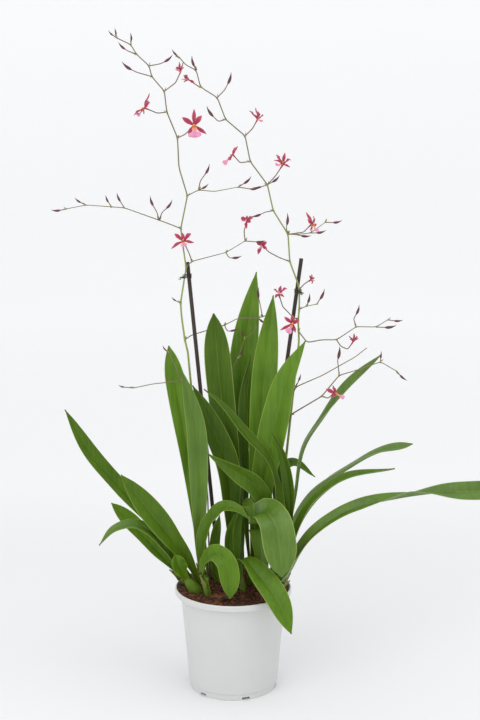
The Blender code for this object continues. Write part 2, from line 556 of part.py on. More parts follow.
def evenly(points, count):
    """Points at equal steps of length along a line of points."""
    lengths = [0.0]
    for a, b in zip(points, points[1:]):
        lengths.append(lengths[-1] + (b - a).length)
    found, i = [], 0
    for k in range(count):
        wanted = lengths[-1] * k / (count - 1)
        while i < len(points) - 2 and lengths[i + 1] < wanted:
            i += 1
        share = (wanted - lengths[i]) / (lengths[i + 1] - lengths[i])
        found.append(points[i].lerp(points[i + 1], share))
    return found


def tangents(points):
    ends = [points[0], *points, points[-1]]
    return [(ends[i + 2] - ends[i]).normalized() for i in range(len(points))]


def between(values, share):
    """The value at this share along a list of evenly spaced values."""
    place = share * (len(values) - 1)
    i = min(int(place), len(values) - 2)
    return values[i].lerp(values[i + 1], place - i)


def eased(low, high, share):
    share = max(0.0, min(1.0, (share - low) / (high - low)))
    return share * share * (3 - 2 * share)


def leaf_half_width(share, widest, bluntness):
    """Half width of a blade as a share of its widest, from a narrow clasping base to a pointed tip."""
    width = LEAF_BASE_SHARE + (1 - LEAF_BASE_SHARE) * eased(0.05, widest, share)
    past = max(0.0, (share - widest) / (1 - widest))
    return width * (1 - past**bluntness)


def leaf_fold(share):
    """How far each half of a blade is folded up from flat: much at the base, little at the tip."""
    opened = BASE_FOLD + (MIDDLE_FOLD - BASE_FOLD) * eased(0.0, 0.45, share)
    return opened + (TIP_FOLD - MIDDLE_FOLD) * eased(0.5, 1.0, share)


def blade_ring(place, along, face, half_width, fold):
    """Six corners of a folded blade's cross-section: the upper side, then the underside."""
    normal = (face - along * face.dot(along)).normalized()
    side = along.cross(normal)
    low, high = math.cos(fold), math.sin(fold)
    left = place - side * half_width * low + normal * half_width * high
    right = place + side * half_width * low + normal * half_width * high
    left_down = (normal * low + side * high) * BLADE_THICKNESS
    right_down = (normal * low - side * high) * BLADE_THICKNESS
    under = place - normal * BLADE_THICKNESS / low
    return [left, place, right, right - right_down, under, left - left_down]


def blade_faces(rows):
    """Triangles round a blade, split alike on its two sides so that a twist never makes them cross."""
    last = (rows - 1) * 6
    faces = [(0, 5, 4, 1), (1, 4, 3, 2), (last, last + 1, last + 4, last + 5)]
    faces.append((last + 1, last + 2, last + 3, last + 4))
    for low in range(0, last, 6):
        high = low + 6
        for i, j in ((0, 1), (1, 2), (2, 3), (5, 0)):
            faces += [(low + i, low + j, high + j), (low + i, high + j, high + i)]
        for i, j in ((3, 4), (4, 5)):
            faces += [(low + i, low + j, high + i), (low + j, high + j, high + i)]
    return faces


def blade(name, route, looks, half_width, end, rows=LEAF_ROWS, clasping=True):
    """A closed folded blade along a smooth route."""
    places = smooth_route(route, rows)
    ways = tangents(places)
    looks = [Vector(look).normalized() for look in looks]
    points = []
    for i, (place, along) in enumerate(zip(places, ways)):
        share = i / (rows - 1)
        wide = max(half_width * leaf_half_width(share, *end), TIP_HALF_WIDTH)
        fold = leaf_fold(share) if clasping else MIDDLE_FOLD
        points += blade_ring(place, along, between(looks, share), wide, fold)
    return mesh_object(name, points, blade_faces(rows))


def make_leaf(name, half_width, root, route, looks):
    x, y = root
    below = Vector((x, y, SOIL_EDGE - ROOT_DEPTH)) * CM
    above = Vector((x, y, SOIL_EDGE + SOIL_MOUND)) * CM
    end = LEAF_ENDS.get(name, USUAL_END)
    return blade(name, [below, above] + [vec(p) for p in route], looks, half_width * CM, end)


def taper(route, thick, thin):
    """A radius for each point of a route, changing evenly from its foot to its end."""
    return [thick + (thin - thick) * i / (len(route) - 1) for i in range(len(route))]


def tube(name, route, radii, sides):
    """A closed tube along straight runs, with a radius for each of its points."""
    ways = tangents(route)
    across = ways[0].orthogonal().normalized()
    points = []
    for place, along, radius in zip(route, ways, radii):
        across = (across - along * across.dot(along)).normalized()
        other = along.cross(across)
        for k in range(sides):
            turn = 2 * math.pi * k / sides
            points.append(place + (across * math.cos(turn) + other * math.sin(turn)) * radius)
    return mesh_object(name, points, rings_to_faces(len(route), sides))


def rings_object(name, places, ways, radii, sides):
    """A closed spindle: a point, rings square to the given ways, and a point."""
    across = ways[0].orthogonal().normalized()
    points = [places[0]]
    for place, along, radius in zip(places[1:-1], ways, radii):
        across = (across - along * across.dot(along)).normalized()
        other = along.cross(across)
        for k in range(sides):
            turn = 2 * math.pi * k / sides
            points.append(place + (across * math.cos(turn) + other * math.sin(turn)) * radius)
    points.append(places[-1])
    last = len(points) - 1
    faces = []
    for k in range(sides):
        j = (k + 1) % sides
        faces.append((0, 1 + j, 1 + k))
        for row in range(len(radii) - 1):
            low, high = 1 + row * sides, 1 + (row + 1) * sides
            faces.append((low + k, low + j, high + j, high + k))
        faces.append((last - sides + k, last - sides + j, last))
    return mesh_object(name, points, faces)


def turned(name, start, end, shape, sides, radius):
    """A closed straight spindle. Its shape lists shares of its length and of its radius."""
    places = [start] + [start.lerp(end, share) for share, _ in shape] + [end]
    ways = [(end - start).normalized()] * len(shape)
    return rings_object(name, places, ways, [radius * wide for _, wide in shape], sides)


def bent_spindle(name, line, length):
    """A bloom's ovary, heart and column: a spindle along a line with one bend at its widest place."""
    start, centre, end = line
    places = [start.lerp(centre, 0.1), start.lerp(centre, 0.75), centre, centre.lerp(end, 0.7)]
    radii = [share * length for share in HEART_RADII]
    low, high = (centre - start).normalized(), (end - centre).normalized()
    bend = (low + high).normalized()
    return rings_object(name, [start, *places, end], [low, bend, bend, high], radii, HEART_SIDES)


def lathe(name, profile, sides):
    """A closed solid turned round Z from a profile of radius and height, whose ends lie on the axis."""
    points, rows = [], []
    for radius, height in profile:
        if radius == 0:
            rows.append([len(points)])
            points.append(Vector((0, 0, height)))
            continue
        rows.append(list(range(len(points), len(points) + sides)))
        for k in range(sides):
            turn = 2 * math.pi * k / sides
            points.append(Vector((radius * math.cos(turn), radius * math.sin(turn), height)))
    faces = []
    for low, high in zip(rows, rows[1:]):
        for k in range(sides):
            corners = [low[k % len(low)], low[(k + 1) % len(low)]]
            corners += [high[(k + 1) % len(high)], high[k % len(high)]]
            faces.append(tuple(dict.fromkeys(corners)))
    return mesh_object(name, points, faces)


def pot_profile():
    """Down the outside from the middle of the floor's underside, and up over the rim to the floor's top."""
    under_rim = RIM_TOP - RIM_HEIGHT
    return [
        (0, 0), (PAD_RADIUS, 0), (PAD_RADIUS + 0.15, FLOOR_UNDERSIDE),
        (FOOT_RADIUS - 0.45, FLOOR_UNDERSIDE), (FOOT_RADIUS - 0.3, 0), (FOOT_RADIUS, 0),
        (FOOT_RADIUS, FOOT_HEIGHT - 0.05), (BODY_FOOT_RADIUS, FOOT_HEIGHT),
        (BODY_TOP_RADIUS, under_rim - 0.05), (RIM_RADIUS - 0.06, under_rim),
        (RIM_RADIUS, under_rim + 0.06), (RIM_RADIUS, RIM_TOP - 0.1), (RIM_RADIUS - 0.1, RIM_TOP),
        (RIM_RADIUS - WALL - 0.05, RIM_TOP - 0.04), (RIM_RADIUS - WALL - 0.1, SHELF),
        (BODY_TOP_RADIUS - WALL, SHELF - 0.1), (BODY_FOOT_RADIUS - WALL - 0.05, FLOOR_TOP + CHAMFER),
        (BODY_FOOT_RADIUS - WALL - CHAMFER - 0.05, FLOOR_TOP), (0, FLOOR_TOP),
    ]


def make_pot():
    pot = lathe("pot", [(r * CM, z * CM) for r, z in pot_profile()], POT_SIDES)
    cutters = []
    for k in range(NOTCH_COUNT):
        turn = Matrix.Rotation(FIRST_NOTCH_ANGLE + 2 * math.pi * k / NOTCH_COUNT, 4, "Z")
        half = Vector((NOTCH_CUT / 2, NOTCH_WIDTH / 2, NOTCH_HEIGHT)) * CM
        middle = Vector((FOOT_RADIUS * CM, 0, 0))
        corners = [
            turn @ (middle + Vector((sx * half.x, sy * half.y, sz * half.z)))
            for sz in (-1, 1)
            for sx, sy in ((-1, -1), (1, -1), (1, 1), (-1, 1))
        ]
        cutters.append(mesh_object("notch", corners, rings_to_faces(2, 4)))
    return applied(pot, "DIFFERENCE", cutters)


def soil_height(radius, angle):
    """Height of the mix: a low mound with lumps, level at the pot's wall."""
    inward = 1 - radius**2
    lumps = math.sin(3 * angle + 9 * radius) + math.sin(7 * angle - 5 * radius + 1)
    return SOIL_EDGE + SOIL_MOUND * inward + SOIL_ROUGHNESS * lumps * min(1.0, 2 * inward)


def mix_outline():
    """Radius and height, in cm, up the side of the mix, clear of the pot's facets."""
    gap = GAP / CM
    flat = math.cos(math.pi / POT_SIDES)
    return [
        ((BODY_FOOT_RADIUS - WALL - CHAMFER - 0.05) * flat - gap, FLOOR_TOP + gap),
        ((BODY_FOOT_RADIUS - WALL - 0.05) * flat - gap, FLOOR_TOP + CHAMFER + gap),
        ((BODY_TOP_RADIUS - WALL) * flat - gap, SHELF - 0.1 + gap / 2),
        ((RIM_RADIUS - WALL - 0.1) * flat - gap, SHELF + gap / 2),
    ]


def make_mix(holes):
    """The mix as rings up its side, lumpy rings across its top and a point in the middle."""
    turns = [2 * math.pi * k / SOIL_SIDES for k in range(SOIL_SIDES)]
    outline = mix_outline()
    reach = outline[-1][0]
    rings = [[(radius, turn, height) for turn in turns] for radius, height in outline]
    for share in reversed(SOIL_RINGS):
        rings.append([(reach * share, turn, soil_height(share, turn)) for turn in turns])
    points = [Vector((r * math.cos(t), r * math.sin(t), z)) * CM for ring in rings for r, t, z in ring]
    faces = [tuple(range(SOIL_SIDES))[::-1]]
    for low in range(0, len(points) - SOIL_SIDES, SOIL_SIDES):
        high = low + SOIL_SIDES
        for k in range(SOIL_SIDES):
            j = (k + 1) % SOIL_SIDES
            faces += [(low + k, low + j, high + j), (low + k, high + j, high + k)]
    last, top = len(points) - SOIL_SIDES, len(points)
    points.append(Vector((0, 0, soil_height(0, 0))) * CM)
    faces += [(last + k, last + (k + 1) % SOIL_SIDES, top) for k in range(SOIL_SIDES)]
    return applied(mesh_object("bark_mix", points, faces), "DIFFERENCE", holes)


def hole_round(made, x, y):
    """A cutter for the plain round hole that a leaf or stem stands in, whose foot is near this place."""
    surface = (SOIL_EDGE + SOIL_MOUND + SOIL_ROUGHNESS) * CM
    root = Vector((x, y, 0)) * CM
    near = [v.co.copy() for v in made.data.vertices if (v.co.xy - root.xy).length < FOOT_REACH * CM]
    higher = min(p.z for p in near if p.z >= surface)
    foot = [p for p in near if p.z < higher + FOOT_MARGIN * MM]
    middle = sum((Vector((p.x, p.y, 0)) for p in foot), Vector()) / len(foot)
    radius = max((Vector((p.x, p.y, 0)) - middle).length for p in foot) + HOLE_CLEARANCE * CM
    low = min(p.z for p in foot) - GAP
    ends = [Vector((middle.x, middle.y, z)) for z in (low, surface + CM)]
    grown = radius / math.cos(math.pi / HOLE_SIDES)
    return tube("hole", ends, [grown] * 2, HOLE_SIDES)


def make_bulb(name, foot, top, radius):
    bulb = turned(name, vec(foot), vec(top), BULB_SHAPE, BULB_SIDES, radius * CM)
    if name == "pseudobulb_left":
        route = [vec(p) for p in STUB_ROUTE]
        stub = blade("stub", route, STUB_LOOKS, STUB_HALF_WIDTH * CM, STUB_END, STUB_ROWS, clasping=False)
        bulb = applied(bulb, "UNION", [stub])
    return bulb


def bulb_hole(foot, top, radius):
    """A cutter that leaves the bulb's own shape in the mix, a little larger."""
    along = (vec(top) - vec(foot)).normalized()
    grown = radius * CM + 2 * GAP
    return turned("hole", vec(foot) - along * 2 * GAP, vec(top), BULB_SHAPE, BULB_SIDES, grown)


def stake_ends(name, margin=0.0):
    """Both ends of a stake's axis, lengthened downwards by the margin."""
    low, high = (vec(p) for p in STAKES[name])
    along = (high - low).normalized()
    depth = (low.z - STAKE_FOOT * CM) / along.z
    return low - along * (depth + margin), high


def make_stake(name):
    return tube(name, list(stake_ends(name)), [STAKE_RADIUS * CM] * 2, STAKE_SIDES)


def stake_hole(name):
    radius = STAKE_RADIUS * CM + 2 * GAP
    low, top = stake_ends(name, margin=GAP)
    depth = vec(STAKES[name][0]).z + CM - low.z
    end = low.lerp(top, depth / (top.z - low.z))
    return tube("hole", [low, end], [radius] * 2, STAKE_SIDES)


def stem_at(route, height):
    """Where a main stem passes this height."""
    for low, high in zip(route, route[1:]):
        if low.z <= height <= high.z:
            return low.lerp(high, (height - low.z) / (high.z - low.z))
    raise ValueError("the stem doesn't reach this height")


def make_tie(name, stake, height, spray):
    """A wire loop round a stake and a flower stem, with two short twisted ends."""
    low, high = stake_ends(stake)
    at_stake = low.lerp(high, (height * CM - low.z) / (high.z - low.z))
    thick, thin, route = SPRAYS[spray]["stems"][0]
    at_stem = stem_at([vec(p) for p in route], height * CM)
    loop = []
    for k in range(TIE_POINTS):
        turn = 2 * math.pi * k / TIE_POINTS
        way = Vector((math.cos(turn), math.sin(turn), 0))
        around_stake = at_stake + way * (STAKE_RADIUS + TIE_WIRE_RADIUS + TIE_CLEARANCE) * CM
        around_stem = at_stem + way * (thick + TIE_WIRE_RADIUS) * CM
        loop.append(max(around_stake, around_stem, key=way.dot))
    ring = closed_ring(name, loop, TIE_WIRE_RADIUS * CM, TIE_SIDES)
    out = (at_stem - at_stake).normalized()
    start = max(loop, key=out.dot)
    ends = []
    for spread in (-1, 1):
        tail = start + (out * TAIL_REACH + Vector((0, -TAIL_DROP, TAIL_SPREAD * spread))) * CM
        ends.append(tube("tail", [start, tail], [TIE_WIRE_RADIUS * CM] * 2, TAIL_SIDES))
    return applied(ring, "UNION", ends)


def closed_ring(name, loop, radius, sides):
    """A wire bent into a closed loop that lies nearly level."""
    count = len(loop)
    points = []
    for i, place in enumerate(loop):
        along = (loop[(i + 1) % count] - loop[i - 1]).normalized()
        out = along.cross(UP).normalized()
        up = out.cross(along)
        for k in range(sides):
            turn = 2 * math.pi * k / sides
            points.append(place + (out * math.cos(turn) + up * math.sin(turn)) * radius)
    faces = []
    for i in range(count):
        low, high = i * sides, ((i + 1) % count) * sides
        for k in range(sides):
            j = (k + 1) % sides
            faces.append((low + k, low + j, high + j, high + k))
    return mesh_object(name, points, faces)


def shortened(route, length):
    """The route with this much of its last run taken off."""
    last = route[-1] - route[-2]
    return route[:-1] + [route[-1] - last.normalized() * length]


def rooted(route):
    """The route with its start sunk a little way back into the stem that it springs from."""
    return [route[0] - (route[1] - route[0]).normalized() * ROOT_SINK * CM] + route[1:]


def make_bud(route, length):
    """A twig that swells into the pointed bud at its end, as one tube."""
    along = (route[-1] - route[-2]).normalized()
    neck = route[-1] - along * length * 0.5
    end = route[-1] + along * length * 0.5
    line = rooted(route[:-1] + [neck])
    radii = [TWIG_RADIUS * CM] * len(line)
    for share, wide in BUD_SHAPE:
        line.append(neck.lerp(end, share))
        radii.append(length * BUD_RADIUS * wide)
    return tube("bud", line, radii, TWIG_SIDES)


def make_spray(name):
    plan = SPRAYS[name]
    pieces = []
    for thick, thin, route in plan["stems"]:
        sides = TWIG_SIDES if pieces else STEM_SIDES
        route = [vec(p) for p in route]
        line = rooted(route) if pieces else route
        pieces.append(tube(name, line, taper(line, thick * CM, thin * CM), sides))
    for length, route in plan["buds"]:
        pieces.append(make_bud([vec(p) for p in route], length * CM))
    for _, size, route, _ in plan["blooms"]:
        stalk = shortened([vec(p) for p in route], OVARY_LENGTH * size * CM + GAP)
        pieces.append(tube("stalk", rooted(stalk), [TWIG_RADIUS * CM] * (len(stalk) + 1), TWIG_SIDES))
    return applied(pieces[0], "UNION", pieces[1:])


def star_layers(centre, frame, arms, length):
    """Corners of a flat star, arm by arm: the valley before it, then the two sides of each of its rows."""
    side, top, forward = frame
    angles = [angle for angle, _, _ in arms]
    corners = []
    for k, (angle, reach, shape) in enumerate(arms):
        valley = math.radians(angle - ((angle - angles[k - 1]) % 360) / 2)
        corners.append(centre + (side * math.cos(valley) + top * math.sin(valley)) * length * VALLEY)
        turn = math.radians(angle)
        out = side * math.cos(turn) + top * math.sin(turn)
        across = top * math.cos(turn) - side * math.sin(turn)
        for far, wide, lift in shape:
            middle = centre + (out * far + forward * lift) * length * reach
            corners += [middle - across * length * wide / 2, middle + across * length * wide / 2]
    return corners


def star_plate(name, centre, frame, arms, length):
    """A closed plate of narrow petals round a centre, split alike on its two sides."""
    corners = star_layers(centre, frame, arms, length)
    corners.append(centre)
    middle = len(corners) - 1
    starts = [0]
    for _, _, shape in arms:
        starts.append(starts[-1] + 1 + 2 * len(shape))
    flat, outline = [], []
    for k, (_, _, shape) in enumerate(arms):
        start, following = starts[k], starts[k + 1] % middle
        sides = [(start, following)] + [(start + 1 + 2 * i, start + 2 + 2 * i) for i in range(len(shape))]
        flat.append((middle, start, following))
        for (a, d), (b, c) in zip(sides, sides[1:]):
            flat += [(a, b, c), (a, c, d)]
        outline += [low for low, _ in sides] + [high for _, high in sides[:0:-1]]
    half = frame[2] * PETAL_THICKNESS * CM / 2
    points = [p - half for p in corners] + [p + half for p in corners]
    front = len(corners)
    faces = flat + [tuple(front + i for i in face[::-1]) for face in flat]
    for p, q in zip(outline, outline[1:] + outline[:1]):
        faces += [(q, p, front + p), (q, front + p, front + q)]
    return mesh_object(name, points, faces)


def make_bloom(name, size, route, facing):
    """Five tepals, a lip and a column, on the ovary that carries them."""
    length = size * CM
    centre = vec(route[-1])
    back = (vec(route[-1]) - vec(route[-2])).normalized()
    forward = Vector(facing).normalized()
    side = forward.cross(UP).normalized()
    top = side.cross(forward).normalized()
    start = centre - back * length * OVARY_LENGTH
    heart = bent_spindle(name, [start, centre, centre + forward * length * COLUMN_LENGTH], length)
    star = star_plate("star", centre, (side, top, forward), PETALS, length)
    return applied(heart, "UNION", [star], solver="MANIFOLD")


def build():
    clear_scene()
    leaf_green = material("leaf green", (0.08, 0.22, 0.04), 0.45)
    stem_green = material("stem green", (0.28, 0.38, 0.12), 0.55)
    petal_red = material("petal crimson", (0.35, 0.03, 0.07), 0.5)
    bulb_green = material("bulb green", (0.16, 0.26, 0.08), 0.5)
    stake_black = material("stake plastic", (0.03, 0.022, 0.02), 0.5)
    pot_grey = material("pot plastic", (0.72, 0.75, 0.74), 0.45)
    bark_brown = material("bark mix", (0.12, 0.05, 0.03), 0.95)
    holes = []
    for name, (half_width, root, route, looks) in LEAVES.items():
        leaf = finished(make_leaf(name, half_width, root, route, looks), leaf_green)
        holes.append(hole_round(leaf, *root))
    for name in SPRAYS:
        spray = finished(make_spray(name), stem_green)
        _, _, main_stem = SPRAYS[name]["stems"][0]
        holes.append(hole_round(spray, *main_stem[0][:2]))
        for bloom, size, route, facing in SPRAYS[name]["blooms"]:
            finished(make_bloom(bloom, size, route, facing), petal_red, smooth=False)
    for name, (foot, top, radius) in BULBS.items():
        finished(make_bulb(name, foot, top, radius), bulb_green)
        holes.append(bulb_hole(foot, top, radius))
    for name in STAKES:
        finished(make_stake(name), stake_black)
        holes.append(stake_hole(name))
    for name, (stake, height, spray) in TIES.items():
        finished(make_tie(name, stake, height, spray), stake_black)
    finished(make_mix(holes), bark_brown, smooth=False)
    finished(make_pot(), pot_grey)


build()
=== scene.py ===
"""The finished look of an oncidium orchid in its nursery pot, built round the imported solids.

Every piece follows the same routes as the solid that it stands for, with finer meshes, and rides on the
one body of the part. Lengths in the tables are in cm; X runs right, Y away from the front, Z up.
"""

import math
import random

import bpy
import numpy as np
from mathutils import Matrix, Vector, noise


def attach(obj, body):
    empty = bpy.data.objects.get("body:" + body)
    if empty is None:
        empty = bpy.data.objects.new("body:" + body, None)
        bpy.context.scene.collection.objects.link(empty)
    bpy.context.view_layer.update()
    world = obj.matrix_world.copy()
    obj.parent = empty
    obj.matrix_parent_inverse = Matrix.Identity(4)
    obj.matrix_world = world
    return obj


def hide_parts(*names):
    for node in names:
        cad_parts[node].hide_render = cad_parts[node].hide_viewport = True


bl_info = {
    "name": "Potted oncidium orchid",
    "version": (1, 0, 0),
    "blender": (4, 5, 0),
    "location": "3D View > Sidebar > Orchid",
    "description": "Builds an oncidium orchid in its nursery pot, with its stakes, bark mix and studio floor",
    "category": "Add Mesh",
}

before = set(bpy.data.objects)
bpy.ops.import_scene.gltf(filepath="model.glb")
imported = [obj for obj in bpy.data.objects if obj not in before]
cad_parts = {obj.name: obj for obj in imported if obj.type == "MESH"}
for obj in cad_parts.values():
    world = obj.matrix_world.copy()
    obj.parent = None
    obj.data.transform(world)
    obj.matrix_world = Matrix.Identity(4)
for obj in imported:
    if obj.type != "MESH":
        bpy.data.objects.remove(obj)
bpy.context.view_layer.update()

CM = 0.01
UP = np.array((0.0, 0.0, 1.0))

# Pot, in cm.
RIM_RADIUS = 6.0
RIM_TOP = 10.7
RIM_HEIGHT = 0.65
SHELF = 10.2
BODY_TOP_RADIUS = 5.4
BODY_FOOT_RADIUS = 4.6
FOOT_HEIGHT = 0.65
FOOT_RADIUS = 4.5
WALL = 0.13
FLOOR_UNDERSIDE = 0.35
FLOOR_TOP = 0.55
CHAMFER = 0.15
PAD_RADIUS = 1.4
POT_SIDES = 144
FILLET_STEPS = 5
NOTCH_COUNT = 6
NOTCH_WIDTH = 0.8
NOTCH_HEIGHT = 0.3
NOTCH_CUT = 1.2
FIRST_NOTCH_ANGLE = math.radians(-73)

# Bark mix, its chips and fibres, in cm, radians or shares.
SOIL_EDGE = 10.15
SOIL_MOUND = 0.3
SOIL_ROUGHNESS = 0.1
ROOT_DEPTH = 0.9
MIX_REACH = 5.72
MIX_WALL = ((5.72, 10.16), (5.2, 10.08), (4.35, 0.72), (4.2, 0.58))
MIX_RINGS = 44
MIX_SIDES = 150
MIX_HEAP = 0.5
HEAP_ANGLE = math.radians(-60)
GRAIN_SCALE = 3.1
GRAIN_HEIGHT = 0.13
CHIP_SIDES = 7
CHIP_LAYERS = ((-0.5, 0.72), (-0.2, 1.0), (0.25, 0.95), (0.5, 0.65))
CHIP_LEAST_WIDTH = 0.72
CHIP_BREAKAGE = 0.5
CHIP_LENGTHS = (0.35, 1.0)
CHIP_BREADTHS = (0.35, 0.7)
CHIP_DEPTHS = (0.12, 0.3)
CHIP_HEIGHTS = (-0.08, 0.1)
CHIP_TILTS = (-0.4, 0.4)
CHIP_MARGIN = 0.35
FIBRE_STEPS = 9
FIBRE_ROWS = 14
FIBRE_SIDES = 4
FIBRE_HEADINGS = (0, 6.28)
FIBRE_LENGTHS = (0.6, 2.2)
FIBRE_RISES = (0.1, 0.6)
FIBRE_RADII = (0.014, 0.03)
FIBRE_HEIGHTS = (0.0, 0.15)
FIBRE_MARGIN = 0.9
INSIDE_RIM = 5.6

# The fibres that lie against the rim at the left, in the units above and degrees round the pot.
RIM_FIBRES = 34
RIM_FIBRE_PLACES = (165, 212)
RIM_FIBRE_INSETS = (0.5, 1.0)
RIM_FIBRE_TURNS = (-1.3, 1.3)
RIM_FIBRE_LENGTHS = (0.4, 0.9)
RIM_FIBRE_RISES = (0.2, 0.6)
RIM_FIBRE_RADII = (0.01, 0.02)
RIM_FIBRE_HEIGHT = 0.3

# Leaf blades: mesh counts, how the thickness changes from midrib to edge, how each half unfolds, curves
# and waves, and the tip's half width in metres. Petals share the first of these.
CURVE_STEPS = 24
LEAF_ROWS = 84
LEAF_COLUMNS = 7
COLUMN_SPACING = 1.2
EDGE_THINNING = 0.5
RIB_EXTRA = 0.9
RIB_REACH = 0.09
LEAF_BASE_SHARE = 0.32
BASE_FOLD = math.radians(62)
MIDDLE_FOLD = math.radians(24)
TIP_FOLD = math.radians(14)
CLASP_END = 0.05
BASE_UNFOLDS = (0.0, 0.45)
TIP_UNFOLDS = (0.5, 1.0)
TIP_HALF_WIDTH = 0.0006
HALF_BOW = math.radians(13)
BOW_GROWS = (0.15, 0.5)
WAVE_COUNT = 2.6
WAVE_OFFSET = 0.37
PHASE_STEP = 0.61
# How bright and how glossy each kind of leaf is, beside the middle one. Each kind is a copy of one green made
# brighter or darker, partly for the leaves' own colour and partly as painted light and shade: lighter for the
# tall upper leaves, darker for leaves set among the others, and brighter for the waxy kind as a painted sheen
# beside its real gloss.
LEAF_TINTS_AND_PAINTED_LIGHT = {
    "dark": (0.78, 1.0), "middle": (1.0, 1.0), "bright": (1.3, 1.0), "waxy": (1.15, 2.4),
    "light": (1.45, 1.4),
}
LEAF_SPECULAR = 0.2
# Leaves whose foot is wider than usual, as a share of their widest.
WIDE_FEET = {"leaf_right_low": 0.75, "leaf_right_upper": 0.7, "leaf_right_tall": 0.5}
# The kind of every leaf that isn't a middle one, which also sets how much painted light and shade it carries.
PAINTED_LIGHT_KIND_OF_LEAF = {
    "leaf_left_low": "bright", "leaf_front_small": "bright", "leaf_front_low": "bright",
    "leaf_leaning_dark": "dark", "leaf_middle_left": "dark", "leaf_narrow": "dark", "leaf_hood": "dark",
    "leaf_small_upright": "dark", "leaf_diagonal": "dark", "leaf_inner_yellow": "bright",
    "leaf_inner_bright": "bright", "leaf_tall_left_front": "waxy", "leaf_left_droop": "waxy",
    "leaf_front_hanging": "waxy", "leaf_right_low": "waxy", "leaf_right_upper": "waxy",
    "leaf_right_tall": "waxy", "leaf_tallest": "light", "leaf_tall_left_back": "light",
    "leaf_right_broad": "light", "leaf_middle_right": "light",
}

# Sheaths and roots, in cm. Each root: where it starts, the way it heads in degrees, and its length.
SHEATH_SEED = 3
SHEATH_LEAST_LEAF = 0.5
SHEATH_LENGTHS = (1.5, 2.9)
SHEATH_HALF_WIDTH = 0.42
SHEATH_STAND_OFF = 0.16
SHEATH_END = (0.45, 1.6)
SHEATH_ROWS = 20
SHEATH_SINK = 0.3
SHEATH_SPREAD = 0.28
DRY_SHEATH = (0.3, 0.24, 0.09)
ROOT_PALE = (0.24, 0.2, 0.1)
ROOT_GREEN = (0.12, 0.13, 0.04)
ROOT_RADIUS = 0.11
ROOT_STEPS = 6
ROOT_ROWS = 40
ROOT_SIDES = 10
ROOT_SWAY = 0.35
ROOT_LIFT = 0.08
ROOTS = (
    ((-3.3, -1.6), 215, 1.6), ((3.2, 0.6), 20, 2.0), ((0.9, 3.0), 80, 2.1), ((-2.4, 2.4), 130, 2.3),
)

# Flower stems, buds and scale leaves: metres unless they are shares.
BEND_STEPS = 6
STEM_BEND = 0.0035
STEM_STEP = 0.0016
STEM_SIDES = 10
TWIG_SIDES = 7
TWIG_RADIUS = 0.00055
NODE_LENGTH = 0.0016
NODE_SWELLING = 0.28
STEM_SLIMMING = 0.3
STEM_SLIMS = (0.15, 0.5)
STEM_BROWNS = (0.43, 0.6)
TALL_SPRAYS = ("spray_left", "spray_right")
SCALE_LENGTH = 0.0042
SCALE_RADIUS = 0.0011
SCALE_THICKNESS = 0.00025
SCALE_WRAP = math.radians(95)
BUD_STRETCH = 1.3
BUD_RADIUS = 0.125
BUD_SIDES = 12
BUD_HOOK = 0.26
BUD_TURN = 2.4
BUD_PROFILE = (
    (0.0, 0.42), (0.07, 0.6), (0.15, 0.82), (0.24, 0.97), (0.33, 1.0), (0.45, 0.92), (0.58, 0.74),
    (0.7, 0.52), (0.81, 0.34), (0.91, 0.2), (0.97, 0.12), (1.0, 0.05),
)

# Blooms: shares of a bloom's size, and how each kind of petal widens from its foot to its tip.
OVARY_LENGTH = 0.42
OVARY_RADII = (0.055, 0.085)
OVARY_ROWS = 8
STALK_SHARE = 0.9
COLUMN_LENGTH = 0.3
COLUMN_LIFT = 0.1
COLUMN_ROWS = 9
COLUMN_PROFILE = ((0, 0.08), (0.25, 0.07), (0.6, 0.09), (0.85, 0.1), (1, 0.03))
HEART_SIDES = 10
PETAL_ROWS = 18
PETAL_COLUMNS = 4
PETAL_FULLNESS = 1.18
PETAL_FOOT = 0.04
PETAL_CURL = 0.08
PETAL_BOW = math.radians(12)
CURL_WAVES = 2.2
RIPPLE_WAVES = 2.3
RIPPLE_OFFSET = 0.4
PETAL_TURN = 1.7
PETAL_PROFILES = {
    "sepal": ((0.0, 0.3), (0.2, 0.62), (0.45, 1.0), (0.65, 0.95), (0.85, 0.5), (0.95, 0.2), (1.0, 0.04)),
    "petal": ((0.0, 0.28), (0.2, 0.66), (0.45, 1.0), (0.68, 1.0), (0.86, 0.6), (0.95, 0.26), (1.0, 0.05)),
    "lip": ((0.0, 0.3), (0.15, 0.36), (0.28, 0.42), (0.42, 0.3), (0.52, 0.42), (0.64, 0.86), (0.78, 1.0),
            (0.9, 0.9), (0.97, 0.6), (1.0, 0.25)),
}
PETAL_FOLDS = {"sepal": 14, "petal": 12, "lip": 4}
PETAL_RIPPLE = {"sepal": 0.08, "petal": 0.18, "lip": 0.2}

# Pseudobulbs, stakes and ties, in cm or shares.
BULB_PROFILE = ((0, 0.1), (0.08, 0.45), (0.3, 0.92), (0.5, 1.0), (0.75, 0.75), (0.93, 0.4), (1, 0.1))
BULB_ROWS = 28
BULB_SIDES = 24
STAKE_RADIUS = 0.2
STAKE_FOOT = 5.0
STAKE_ROWS = 60
STAKE_SIDES = 20
TIE_WIRE_RADIUS = 0.05
TIE_TURNS = 3
TIE_HEIGHT = 0.45
TIE_TURN_STEPS = 28
TIE_CLEARANCE = 0.02
LOOP_WIRE = 0.8
LOOP_SIDES = 8
TAIL_WIRE = 0.7
TAIL_SIDES = 6
TAIL_REACH = 0.55
TAIL_STEPS = 40
TAIL_TWIST = 4 * math.pi
TAIL_DROP = -0.12
TAIL_SPLAY = 0.05
TAIL_OPENING = 0.12
TAIL_OPENS = 0.7

